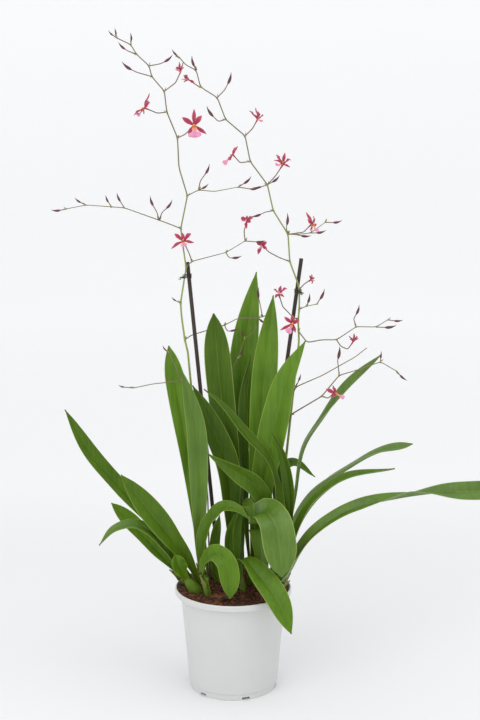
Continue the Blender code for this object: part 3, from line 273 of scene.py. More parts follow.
# Lights, camera, floor and backdrop, in metres: a light's place and the side of its square.
KEY_LIGHT = ((-0.9, -1.6, 1.5), 1.6)
FILL_LIGHT = ((0.7, -0.4, 2.0), 2.0)
LIGHT_AIM = (0.0, 0.0, 0.3)
ROOM_TINT = (0.97, 0.98, 1.0, 1.0)
SENSOR_MM = 36.0
CAMERA_X = 0.007
FLOOR_REACH = 7.0
BACKDROP_PLACE = 3.2
BACKDROP_BEND = 0.8
BACKDROP_HEIGHT = 4.5
BACKDROP_STEPS = 25
# Painted light: between these distances behind the pot the floor's colour lightens from the floor colour to
# the backdrop colour.
PAINTED_LIGHT_FADE_START = 0.35
PAINTED_LIGHT_FADE_END = 0.85
# Painted light: how much the floor and backdrop glow, by their distance from the pot as a share of the reach.
PAINTED_GLOW_REACH = 8.0
PAINTED_GLOW_STOPS = ((0.12, 0.0), (0.28, 0.1), (0.45, 0.11), (0.8, 0.2))
ROOM_WHITE = 0.95
# The degrees from which an edge between two faces shows as sharp.
PLAIN_EDGE = 40.0
CHIP_EDGE = 35.0
POT_EDGE = 32.0
ROUND_EDGE = 60.0
BLADE_EDGE = 70.0
PETAL_EDGE = 80.0

# Each leaf: half width in cm, where its root stands, the places it passes in cm, and the ways that its
# upper face looks from root to tip.
LEAVES = {
    "leaf_far_left": (
        0.95, (-4.5, 1.9),
        [(-6.2, 2.2, 12.8), (-8.9, 2.4, 17.0), (-11.8, 2.4, 20.5), (-14.7, 2.0, 24.3), (-17.1, 1.2, 29.1)],
        [(0.9, -0.4, 0.2), (0.5, -0.8, 0.5), (0.4, -0.9, 0.4)],
    ),
    "leaf_left_broad": (
        1.3, (-3.8, 0.0),
        [(-4.8, -0.8, 13.8), (-6.4, -1.8, 16.5), (-8.1, -2.8, 19.2), (-9.7, -3.4, 21.6), (-11.1, -3.6, 23.6)],
        [(0.8, -0.6, 0.1), (0.4, -0.9, 0.3), (0.5, -0.9, 0.2)],
    ),
    "leaf_left_low": (
        0.95, (-4.9, 0.9),
        [(-6.2, 0.8, 12.2), (-8.1, 0.9, 14.4), (-10.0, 0.9, 16.6), (-12.5, 0.6, 19.4)],
        [(0.8, -0.5, 0.4), (0.3, -0.8, 0.6), (0.3, -0.8, 0.5)],
    ),
    "leaf_left_droop": (
        0.65, (-4.35, 0.4),
        [(-5.8, -1.0, 13.2), (-7.1, -2.0, 15.7), (-8.4, -2.8, 17.5), (-10.0, -3.4, 18.4),
         (-11.9, -3.8, 18.0), (-13.4, -4.0, 16.4)],
        [(0.8, -0.4, 0.4), (0.4, -0.6, 0.7), (-0.2, -0.7, 0.8), (-0.6, -0.6, 0.5)],
    ),
    "leaf_tall_left_back": (
        1.05, (-3.3, 1.6),
        [(-3.5, 1.3, 14.7), (-4.0, 1.3, 19.5), (-4.6, 1.4, 24.3), (-5.3, 1.4, 28.5), (-6.5, 1.4, 35.7)],
        [(-0.3, -1, 0), (0.2, -1, 0.1)],
    ),
    "leaf_tall_left_front": (
        1.1, (-3.2, 0.75),
        [(-3.4, 0.0, 14.6), (-3.4, -0.4, 19.0), (-3.5, -0.6, 23.8), (-3.7, -0.6, 27.4), (-5.1, -0.3, 33.5)],
        [(-0.4, -1, 0), (0.2, -1, 0.1)],
    ),
    "leaf_leaning_dark": (
        1.3, (-0.7, 2.0),
        [(-0.2, 1.9, 14.5), (-0.3, 1.8, 19.4), (-0.8, 1.6, 23.7), (-2.1, 1.4, 27.1), (-4.1, 1.3, 31.6)],
        [(0.3, -1, 0), (0.3, -1, 0.2)],
    ),
    "leaf_middle_left": (
        1.45, (0.0, 3.3),
        [(0.2, 3.3, 14.5), (0.0, 3.2, 18.9), (-0.4, 3.2, 23.3), (-1.3, 3.3, 30.7), (-2.0, 3.8, 38.6)],
        [(0.2, -1, 0), (0, -1, 0.1)],
    ),
    "leaf_tallest": (
        1.5, (0.9, 4.4),
        [(0.7, 4.7, 15.2), (0.6, 5.0, 21.7), (0.7, 5.4, 28.1), (1.1, 5.8, 33.9), (2.4, 6.4, 42.5)],
        [(0.1, -1, 0), (-0.1, -1, 0.1)],
    ),
    "leaf_middle_right": (
        1.4, (2.1, 2.3),
        [(2.2, 2.4, 15.1), (2.4, 2.7, 18.8), (2.9, 3.1, 27.2), (3.2, 3.4, 31.8), (4.1, 4.2, 40.4)],
        [(-0.2, -1, 0), (0, -1, 0.1)],
    ),
    "leaf_right_broad": (
        1.6, (3.3, 1.9),
        [(3.0, 1.7, 17.1), (3.2, 1.4, 21.6), (3.8, 1.1, 25.0), (4.5, 0.9, 28.6), (5.4, 0.9, 32.5),
         (7.3, 1.0, 36.3)],
        [(-0.4, -1, 0), (-0.3, -1, 0.2)],
    ),
    "leaf_narrow": (
        0.65, (1.7, 3.5),
        [(1.3, 3.8, 15.7), (1.1, 3.9, 21.0), (0.9, 4.0, 26.4), (1.0, 4.1, 30.0), (1.8, 4.3, 34.0)],
        [(0.5, -1, 0), (0.6, -1, 0)],
    ),
    "leaf_diagonal": (
        0.95, (4.0, -0.3),
        [(4.5, -0.4, 15.8), (4.6, -0.5, 19.5), (3.1, -0.7, 24.7), (1.5, -0.8, 26.6), (-1.7, -0.6, 30.6),
         (-2.9, -0.3, 31.6)],
        [(-0.9, -0.4, 0), (0.5, -0.3, 0.8), (0.6, -0.3, 0.7)],
    ),
    "leaf_bent_left": (
        1.05, (3.1, 0.3),
        [(3.1, 0.1, 13.4), (3.3, 0.0, 17.2), (3.0, -0.2, 20.0), (2.1, -0.6, 21.7), (0.7, -1.2, 23.0),
         (-2.6, -2.1, 25.4)],
        [(0.2, -1, 0), (0.3, -0.8, 0.6), (-0.2, -0.7, -0.7)],
    ),
    "leaf_front_arch": (
        0.75, (-2.6, 0.1),
        [(-3.2, -0.8, 13.2), (-3.1, -1.6, 16.2), (-2.2, -2.3, 18.7), (-0.9, -2.9, 20.1), (0.5, -3.4, 20.0),
         (1.7, -3.8, 19.0)],
        [(0.6, 0.6, 0), (-0.5, -0.7, 0.5), (0, -0.6, 0.8), (0.4, -0.8, 0.5)],
    ),
    "leaf_hood": (
        0.9, (0.6, 0.4),
        [(0.7, 0.0, 14.6), (0.9, -0.8, 18.3), (1.2, -1.7, 20.0), (1.6, -2.4, 20.1), (1.9, -3.0, 18.6)],
        [(0, 1, 0), (-0.4, 0.4, 0.8), (-0.2, -0.8, 0.6)],
    ),
    "leaf_front_hanging": (
        1.8, (3.4, -0.9),
        [(2.9, -1.1, 13.9), (2.9, -1.5, 17.4), (3.3, -2.3, 19.3), (4.0, -3.4, 18.9), (4.6, -4.4, 16.6),
         (4.9, -5.0, 13.4)],
        [(0, 1, 0), (0, 0.3, 0.9), (0.1, -0.9, 0.4), (0.1, -1, 0.2)],
    ),
    "leaf_front_low": (
        1.35, (1.2, -1.2),
        [(0.5, -1.3, 12.3), (0.4, -1.7, 13.6), (1.2, -2.6, 14.2), (2.8, -4.2, 13.0), (4.4, -5.8, 11.3),
         (5.8, -7.0, 8.2)],
        [(-0.2, 1, 0), (0, 0.2, 1), (0.1, -0.7, 0.7), (0, -0.8, 0.6)],
    ),
    "leaf_front_small": (
        1.1, (-2.6, -2.5),
        [(-3.0, -2.5, 12.7), (-2.7, -2.8, 14.4), (-1.8, -3.5, 15.4), (-0.8, -4.2, 14.9), (-0.3, -4.6, 13.0),
         (-0.3, -4.7, 11.0)],
        [(0.6, 0.6, 0.2), (-0.2, -0.2, 1), (0, -1, 0.3), (0, -1, 0)],
    ),
    "leaf_right_tall": (
        0.75, (4.2, 1.7),
        [(5.8, 1.6, 16.3), (6.4, 1.6, 19.7), (7.5, 1.8, 25.4), (9.2, 2.1, 28.0), (11.6, 2.8, 31.1),
         (15.2, 3.4, 34.4)],
        [(-1, -0.3, 0), (-1, 0.1, 0.1), (-0.8, 0.2, 0.5), (-0.5, -0.2, 0.8), (-0.5, -0.7, 0.6)],
    ),
    "leaf_right_upper": (
        0.85, (4.7, 0.85),
        [(6.0, 0.6, 15.5), (7.0, 0.6, 18.5), (8.9, 0.9, 21.0), (11.6, 1.4, 22.7), (14.3, 1.8, 24.2),
         (18.5, 2.4, 25.2)],
        [(-1, -0.3, 0.2), (-0.8, 0.3, 0.6), (-0.4, 0.5, 0.9), (-0.1, 0.2, 1), (0, -0.5, 0.9)],
    ),
    "leaf_right_middle": (
        0.95, (4.9, -0.9),
        [(5.9, -0.9, 14.6), (6.9, -1.0, 17.8), (8.5, -1.1, 20.3), (10.6, -1.4, 22.2), (16.2, -2.2, 23.9)],
        [(-0.9, -0.5, 0.2), (-0.6, -0.2, 0.8), (0, 0.0, 1)],
    ),
    "leaf_right_low": (
        1.0, (4.3, -2.0),
        [(5.9, -2.0, 13.1), (6.7, -2.4, 14.9), (8.1, -2.9, 17.2), (10.5, -3.4, 19.3), (16.6, -4.3, 21.5),
         (19.3, -4.6, 22.0), (24.5, -5.0, 22.4), (27.6, -5.2, 22.8)],
        [(-0.8, -0.5, 0.3), (-0.6, -0.5, 0.7), (-0.3, -0.6, 0.8), (-0.1, -0.4, 0.9), (0, 0.3, 1),
         (0, -0.8, 0.6), (0, -1, 0.1)],
    ),
    "leaf_small_upright": (
        0.65, (4.9, 0.1),
        [(5.4, 0.0, 13.5), (5.8, 0.1, 17.8), (5.7, 0.0, 21.4), (4.9, -0.2, 25.0), (3.9, -0.2, 27.1)],
        [(-0.7, -0.7, 0), (-0.3, -1, 0)],
    ),
    "leaf_back_right": (
        0.6, (4.2, 2.5),
        [(4.8, 2.5, 16.7), (4.6, 2.4, 20.5), (5.0, 2.4, 22.6), (6.0, 2.7, 23.1), (8.5, 3.0, 21.5)],
        [(-0.5, -0.8, 0), (0, -0.3, 1), (0.4, -0.7, 0.6)],
    ),
    "leaf_inner_yellow": (
        0.55, (-0.6, 0.9),
        [(-0.5, 0.9, 13.2), (-0.2, 0.7, 16.3), (1.0, 0.3, 19.2)],
        [(0.4, -0.9, 0), (-0.4, -0.9, 0.2)],
    ),
    "leaf_inner_bright": (
        0.6, (-1.7, 0.9),
        [(-2.0, 0.9, 13.3), (-1.9, 0.9, 15.5), (-1.4, 0.9, 18.0)],
        [(0.4, -0.9, 0), (0.2, -0.9, 0.2)],
    ),
}

# Where along its length a leaf is widest, and how blunt its end is, for those that aren't like the rest.
LEAF_ENDS = {
    "leaf_tall_left_back": (0.82, 3.0),
    "leaf_middle_left": (0.74, 4.0),
    "leaf_tallest": (0.72, 2.0),
    "leaf_middle_right": (0.7, 2.2),
    "leaf_right_broad": (0.62, 2.2),
    "leaf_left_low": (0.65, 3.5),
    "leaf_back_right": (0.5, 5.0),
    "leaf_front_hanging": (0.76, 3.0),
    "leaf_front_small": (0.74, 2.6),
    "leaf_right_tall": (0.78, 2.2),
    "leaf_right_upper": (0.85, 3.0),
    "leaf_right_low": (0.86, 3.0),
}
USUAL_END = (0.65, 2.4)

# Pseudobulbs: foot, top and radius in cm.
BULBS = {
    "pseudobulb_left": ((-3.0, -1.3, 9.6), (-4.9, -1.45, 12.1), 0.7),
    "pseudobulb_middle": ((1.9, 0.75, 9.4), (2.0, 0.6, 13.4), 0.55),
    "pseudobulb_back": ((-1.9, 4.2, 9.4), (-2.2, 4.4, 13.0), 0.75),
}
STUB_HALF_WIDTH = 0.85
STUB_ROUTE = [(-4.6, -1.5, 11.8), (-5.2, -1.9, 12.8), (-5.6, -2.35, 13.8), (-5.9, -2.75, 15.0)]
STUB_LOOKS = [(0.5, -0.8, 0.3), (0.3, -0.9, 0.3)]
STUB_END = (0.55, 4.0)

# Stakes: where each axis meets the top of the mix, and its top end, in cm.
STAKES = {
    "stake_left": ((-1.4, 2.6, 10.3), (-4.6, 2.8, 44.0)),
    "stake_right": ((2.5, 3.9, 10.3), (6.9, 3.3, 44.3)),
}

# The tie on each stake: the height it sits at, and the spray whose stem it holds.
TIES = {
    "tie_left": ("stake_left", 42.6, "spray_left"),
    "tie_right": ("stake_right", 41.0, "spray_right"),
}

# Flower sprays. The first stem of each is its main stem, which stands in the mix. A bud or bloom sits at
# the end of its own route. All places are in cm, and a stem's two radii are at its foot and its end.
SPRAYS = {
    "spray_left": {
        "stems": [
            (0.17, 0.07, [
                (-2.6, 2.6, 9.5), (-3.0, 2.5, 14.8), (-3.8, 2.4, 25.6), (-4.6, 2.4, 34.8), (-4.9, 2.4, 36.1),
                (-5.2, 2.3, 38.4), (-5.3, 2.3, 39.9), (-4.9, 2.3, 42.4), (-4.7, 2.2, 43.5),
                (-5.0, 2.0, 45.7), (-5.2, 1.8, 47.5), (-4.5, 1.4, 50.8), (-5.3, 1.0, 53.6),
                (-5.4, 0.6, 56.5), (-6.4, 0.2, 59.0), (-6.6, -0.1, 61.0), (-7.8, -0.4, 62.4),
                (-8.0, -0.7, 63.4), (-9.2, -1.0, 64.5), (-9.7, -1.2, 65.4), (-11.0, -1.4, 66.0)]),
            (0.07, 0.05, [(-4.9, 2.4, 36.1), (-4.3, 3.3, 36.4), (-3.4, 3.8, 36.6), (-0.9, 4.7, 37.2),
                          (0.5, 4.9, 37.9), (2.6, 4.9, 37.9), (3.4, 4.9, 38.2)]),
            (0.07, 0.05, [(-4.7, 2.2, 43.6), (-4.1, 1.9, 44.2), (-0.7, 1.0, 45.2), (1.2, 0.6, 46.4)]),
            (0.08, 0.05, [(-5.2, 1.8, 47.5), (-6.5, 1.2, 48.1), (-10.6, -0.6, 49.8), (-14.2, -1.9, 50.2),
                          (-16.0, -2.6, 49.9)]),
            (0.07, 0.05, [(-4.5, 1.4, 50.8), (-3.4, 1.0, 51.4), (-1.8, 0.4, 51.3), (0.5, -0.4, 51.8)]),
        ],
        "buds": [
            (0.5, [(-5.3, 2.3, 39.9), (-6.0, 2.0, 40.3)]),
            (0.7, [(-0.9, 4.7, 37.2), (-0.6, 4.5, 36.6), (0.1, 4.3, 36.7)]),
            (0.9, [(3.0, 4.9, 38.05), (2.8, 4.8, 39.2), (2.5, 4.6, 40.6)]),
            (0.7, [(2.6, 4.9, 37.9), (3.0, 4.8, 37.5)]),
            (0.7, [(3.4, 4.9, 38.2), (4.0, 4.8, 38.2)]),
            (0.8, [(-0.7, 1.0, 45.2), (-0.4, 0.8, 44.7), (0.4, 0.5, 44.7)]),
            (0.7, [(1.2, 0.6, 46.4), (2.7, 0.4, 46.3)]),
            (0.8, [(-7.3, 0.85, 48.45), (-7.5, 0.9, 49.2), (-8.1, 0.7, 50.3)]),
            (0.8, [(-7.3, 0.85, 48.45), (-7.0, 1.0, 49.2), (-6.2, 1.1, 49.9)]),
            (0.7, [(-10.6, -0.6, 49.8), (-11.2, -0.8, 50.8)]),
            (0.6, [(-11.8, -1.0, 49.9), (-12.3, -1.2, 50.7)]),
            (0.6, [(-14.2, -1.9, 50.2), (-15.0, -2.1, 50.6)]),
            (0.7, [(-16.0, -2.6, 49.9), (-17.0, -2.9, 49.7)]),
            (0.8, [(-3.4, 1.0, 51.4), (-3.2, 0.9, 52.3), (-2.4, 0.8, 53.4)]),
            (0.7, [(-3.4, 1.0, 51.4), (-2.7, 0.6, 51.7)]),
            (0.8, [(0.5, -0.4, 51.8), (1.5, -0.6, 52.4)]),
            (0.7, [(0.5, -0.4, 51.8), (2.1, -0.9, 51.6)]),
            (0.9, [(-7.8, -0.4, 62.4), (-9.2, -0.8, 62.8), (-10.2, -1.0, 63.3)]),
            (0.8, [(-8.0, -0.7, 63.4), (-6.9, -0.7, 63.6), (-6.1, -0.6, 64.0)]),
            (0.7, [(-9.2, -1.0, 64.5), (-10.0, -1.2, 64.8), (-10.6, -1.4, 65.2)]),
            (0.6, [(-9.7, -1.2, 65.4), (-9.6, -1.3, 66.1)]),
            (0.5, [(-11.0, -1.4, 66.0), (-11.6, -1.5, 66.4)]),
            (0.5, [(-11.0, -1.4, 66.0), (-11.1, -1.5, 66.6)]),
        ],
        "blooms": [
            ("bloom_far_left", 1.1,
             [(-6.4, 0.2, 59.0), (-7.3, 0.0, 58.9), (-8.0, -0.2, 59.2), (-8.5, -0.4, 59.4)],
             (-0.9, -0.4, -0.1)),
            ("bloom_high_left", 1.4, [(-5.4, 0.6, 56.5), (-4.6, -0.3, 56.9), (-3.7, -1.3, 57.8)],
             (-0.1, -1.0, 0.0)),
            ("bloom_left_top", 0.85, [(-6.6, -0.1, 61.0), (-5.5, -0.6, 61.8), (-5.0, -0.9, 62.8)],
             (-0.4, -0.4, 0.8)),
            ("bloom_left_middle", 1.2, [(-4.1, 1.9, 44.2), (-4.4, 1.0, 45.2), (-4.9, 0.4, 46.4)],
             (0.0, -0.8, 0.6)),
            ("bloom_centre", 0.95, [(1.2, 0.6, 46.4), (1.1, 0.5, 47.4), (1.4, 0.5, 48.4)], (-0.5, -0.6, 0.5)),
        ],
    },
    "spray_right": {
        "stems": [
            (0.17, 0.07, [
                (3.6, 2.9, 9.5), (4.7, 3.8, 14.5), (5.5, 3.8, 23.3), (6.4, 2.7, 33.0), (6.7, 2.6, 35.9),
                (6.6, 2.6, 38.1), (6.7, 2.6, 39.2), (6.7, 2.7, 41.2), (6.5, 2.6, 42.0), (5.7, 2.4, 44.1),
                (5.5, 2.0, 46.9), (4.0, 1.6, 49.3), (3.4, 1.2, 51.9), (1.7, 0.8, 54.2), (1.2, 0.5, 56.7),
                (-0.7, 0.2, 58.3), (-1.5, -0.1, 60.4), (-3.1, -0.4, 61.4), (-3.5, -0.7, 63.0),
                (-4.5, -0.9, 63.5), (-5.1, -1.1, 64.2)]),
            (0.08, 0.05, [(6.6, 2.6, 37.0), (7.5, 2.0, 35.9), (9.0, 1.4, 36.3), (10.4, 0.8, 36.4),
                          (12.3, 0.0, 37.9), (14.2, -0.8, 38.0), (15.3, -1.2, 38.8)]),
            (0.07, 0.05, [(5.5, 2.0, 46.9), (6.3, 2.6, 46.8), (7.8, 3.1, 46.9), (9.3, 3.8, 47.9)]),
            (0.06, 0.05, [(6.7, 2.6, 39.2), (7.4, 2.2, 39.6), (8.4, 1.6, 39.9)]),
            (0.06, 0.05, [(6.6, 2.6, 38.1), (6.0, 2.3, 38.5), (5.0, 1.9, 39.6)]),
        ],
        "buds": [
            (0.8, [(-3.5, -0.7, 63.0), (-3.9, -0.7, 63.8)]),
            (0.6, [(-5.1, -1.1, 64.2), (-5.6, -1.2, 64.6)]),
            (0.9, [(-1.5, -0.1, 60.4), (-0.8, -0.3, 61.1), (-0.2, -0.4, 62.2)]),
            (0.9, [(-0.7, 0.2, 58.3), (-1.4, 0.0, 58.1), (-2.3, -0.2, 59.0)]),
            (0.8, [(3.4, 1.2, 51.9), (4.3, 0.9, 52.4)]),
            (0.7, [(3.4, 1.2, 51.9), (2.4, 0.8, 51.6)]),
            (0.9, [(5.5, 2.0, 46.9), (5.3, 2.0, 47.5), (5.5, 2.0, 48.4)]),
            (0.8, [(6.3, 2.6, 46.8), (7.3, 2.4, 46.6)]),
            (0.8, [(7.8, 3.1, 46.9), (8.9, 3.3, 46.9)]),
            (0.8, [(9.3, 3.8, 47.9), (10.6, 4.4, 47.8)]),
            (0.8, [(7.4, 2.2, 39.6), (7.7, 1.8, 40.4)]),
            (0.9, [(8.4, 1.6, 39.9), (9.0, 1.2, 40.9)]),
            (0.8, [(12.3, 0.0, 37.9), (12.0, -0.1, 38.7), (12.5, -0.2, 39.6)]),
            (0.9, [(14.2, -0.8, 38.0), (15.6, -1.2, 38.0)]),
            (0.7, [(15.3, -1.2, 38.8), (16.3, -1.6, 38.7)]),
            (0.8, [(4.0, 1.6, 49.3), (3.2, 1.2, 49.2), (2.3, 0.9, 48.8)]),
        ],
        "blooms": [
            ("bloom_top_right", 0.85, [(-3.1, -0.4, 61.4), (-3.5, -0.7, 61.6), (-4.2, -1.2, 62.1)],
             (-0.8, -0.5, 0.3)),
            ("bloom_high_right", 1.0, [(1.2, 0.5, 56.7), (1.9, 0.2, 57.4), (2.4, 0.0, 58.3)],
             (0.5, -0.3, 0.8)),
            ("bloom_middle_high", 1.0, [(1.7, 0.8, 54.2), (0.7, 0.5, 54.1), (0.0, 0.3, 54.9)],
             (-0.8, -0.5, -0.2)),
            ("bloom_right_high", 1.15, [(3.4, 1.2, 51.9), (4.2, 0.9, 52.8), (4.9, 0.6, 53.9)],
             (0.0, -0.4, 0.9)),
            ("bloom_middle", 0.95, [(5.7, 2.4, 44.1), (4.6, 1.8, 44.6), (3.6, 1.2, 45.2), (2.9, 0.9, 45.9)],
             (-0.4, -0.8, 0.1)),
            ("bloom_right_upper", 1.2, [(5.5, 2.0, 46.9), (7.0, 1.2, 47.2), (7.8, 0.6, 48.1)],
             (0.7, -0.6, -0.3)),
            ("bloom_right_small", 0.7, [(6.7, 2.7, 41.2), (7.1, 2.2, 41.8), (7.8, 1.7, 42.4)],
             (0.8, -0.5, 0.1)),
            ("bloom_right_curled", 1.15, [(6.0, 2.3, 38.5), (5.0, 1.9, 39.6), (4.6, 1.4, 40.9)],
             (0.1, -0.3, 0.9)),
            ("bloom_front", 1.35, [(6.6, 2.6, 38.1), (6.3, 1.9, 37.9), (6.0, 1.2, 38.0)], (-0.1, -1.0, 0.1)),
            ("bloom_far_right", 1.0,
             [(10.4, 0.8, 36.4), (10.8, 0.6, 35.8), (11.5, 0.4, 35.5), (12.0, 0.2, 36.3)], (0.4, 0.2, 0.9)),
        ],
    },
    "spray_low_right": {
        "stems": [
            (0.12, 0.05, [
                (3.1, 3.4, 9.5), (3.6, 3.5, 14.6), (4.1, 3.3, 21.2), (4.7, 3.1, 25.0), (5.3, 2.6, 27.0),
                (6.0, 2.2, 28.4), (9.0, 1.2, 30.5), (10.7, 0.6, 32.8), (12.7, -0.2, 33.6), (14.7, -0.9, 34.5),
                (16.3, -1.2, 33.6)]),
            (0.07, 0.05, [(5.3, 2.6, 27.0), (5.7, 2.6, 29.3), (6.4, 2.4, 31.2), (9.1, 1.6, 32.6),
                          (12.3, 0.6, 34.7), (13.4, 0.2, 35.7)]),
        ],
        "buds": [
            (0.6, [(6.4, 2.4, 31.2), (6.8, 2.1, 32.2)]),
            (0.6, [(6.0, 2.2, 28.4), (5.7, 2.0, 27.6)]),
            (1.0, [(10.7, 0.6, 32.8), (10.5, 0.3, 34.4), (10.7, 0.3, 35.2)]),
            (0.6, [(14.7, -0.9, 34.5), (14.7, -1.1, 35.2)]),
            (0.7, [(16.3, -1.2, 33.6), (16.9, -1.3, 32.9)]),
        ],
        "blooms": [
            ("bloom_low_right", 1.2, [(9.0, 1.2, 30.5), (9.6, 0.7, 30.4), (10.2, 0.1, 31.1)],
             (0.7, -0.6, -0.2)),
        ],
    },
    "spray_centre": {
        "stems": [
            (0.08, 0.05, [
                (-0.5, 4.4, 9.5), (-0.5, 4.3, 14.1), (-0.3, 4.1, 23.2), (0.0, 4.2, 30.4), (-0.1, 4.5, 32.7),
                (0.5, 4.6, 33.8), (1.2, 4.7, 35.8), (2.1, 4.6, 36.5), (2.4, 4.5, 37.2)]),
        ],
        "buds": [
            (0.6, [(1.2, 4.7, 35.8), (0.9, 4.5, 36.4)]),
            (0.5, [(0.5, 4.6, 33.8), (0.9, 4.4, 34.4)]),
        ],
        "blooms": [],
    },
    "spray_low_left": {
        "stems": [
            (0.09, 0.05, [
                (-2.4, 1.5, 9.5), (-2.5, 1.2, 13.2), (-2.6, 0.6, 20.0), (-3.1, 0.5, 27.0), (-4.9, 0.4, 31.1),
                (-5.2, 0.2, 32.3), (-7.9, -0.6, 32.2), (-9.9, -1.2, 31.9)]),
            (0.06, 0.05, [(-5.2, 0.2, 32.3), (-5.8, 0.1, 33.9), (-6.5, -0.1, 35.3)]),
        ],
        "buds": [
            (0.5, [(-9.9, -1.2, 31.9), (-11.1, -1.6, 32.1)]),
            (0.5, [(-6.5, -0.1, 35.3), (-6.9, -0.2, 35.7)]),
        ],
        "blooms": [],
    },
}

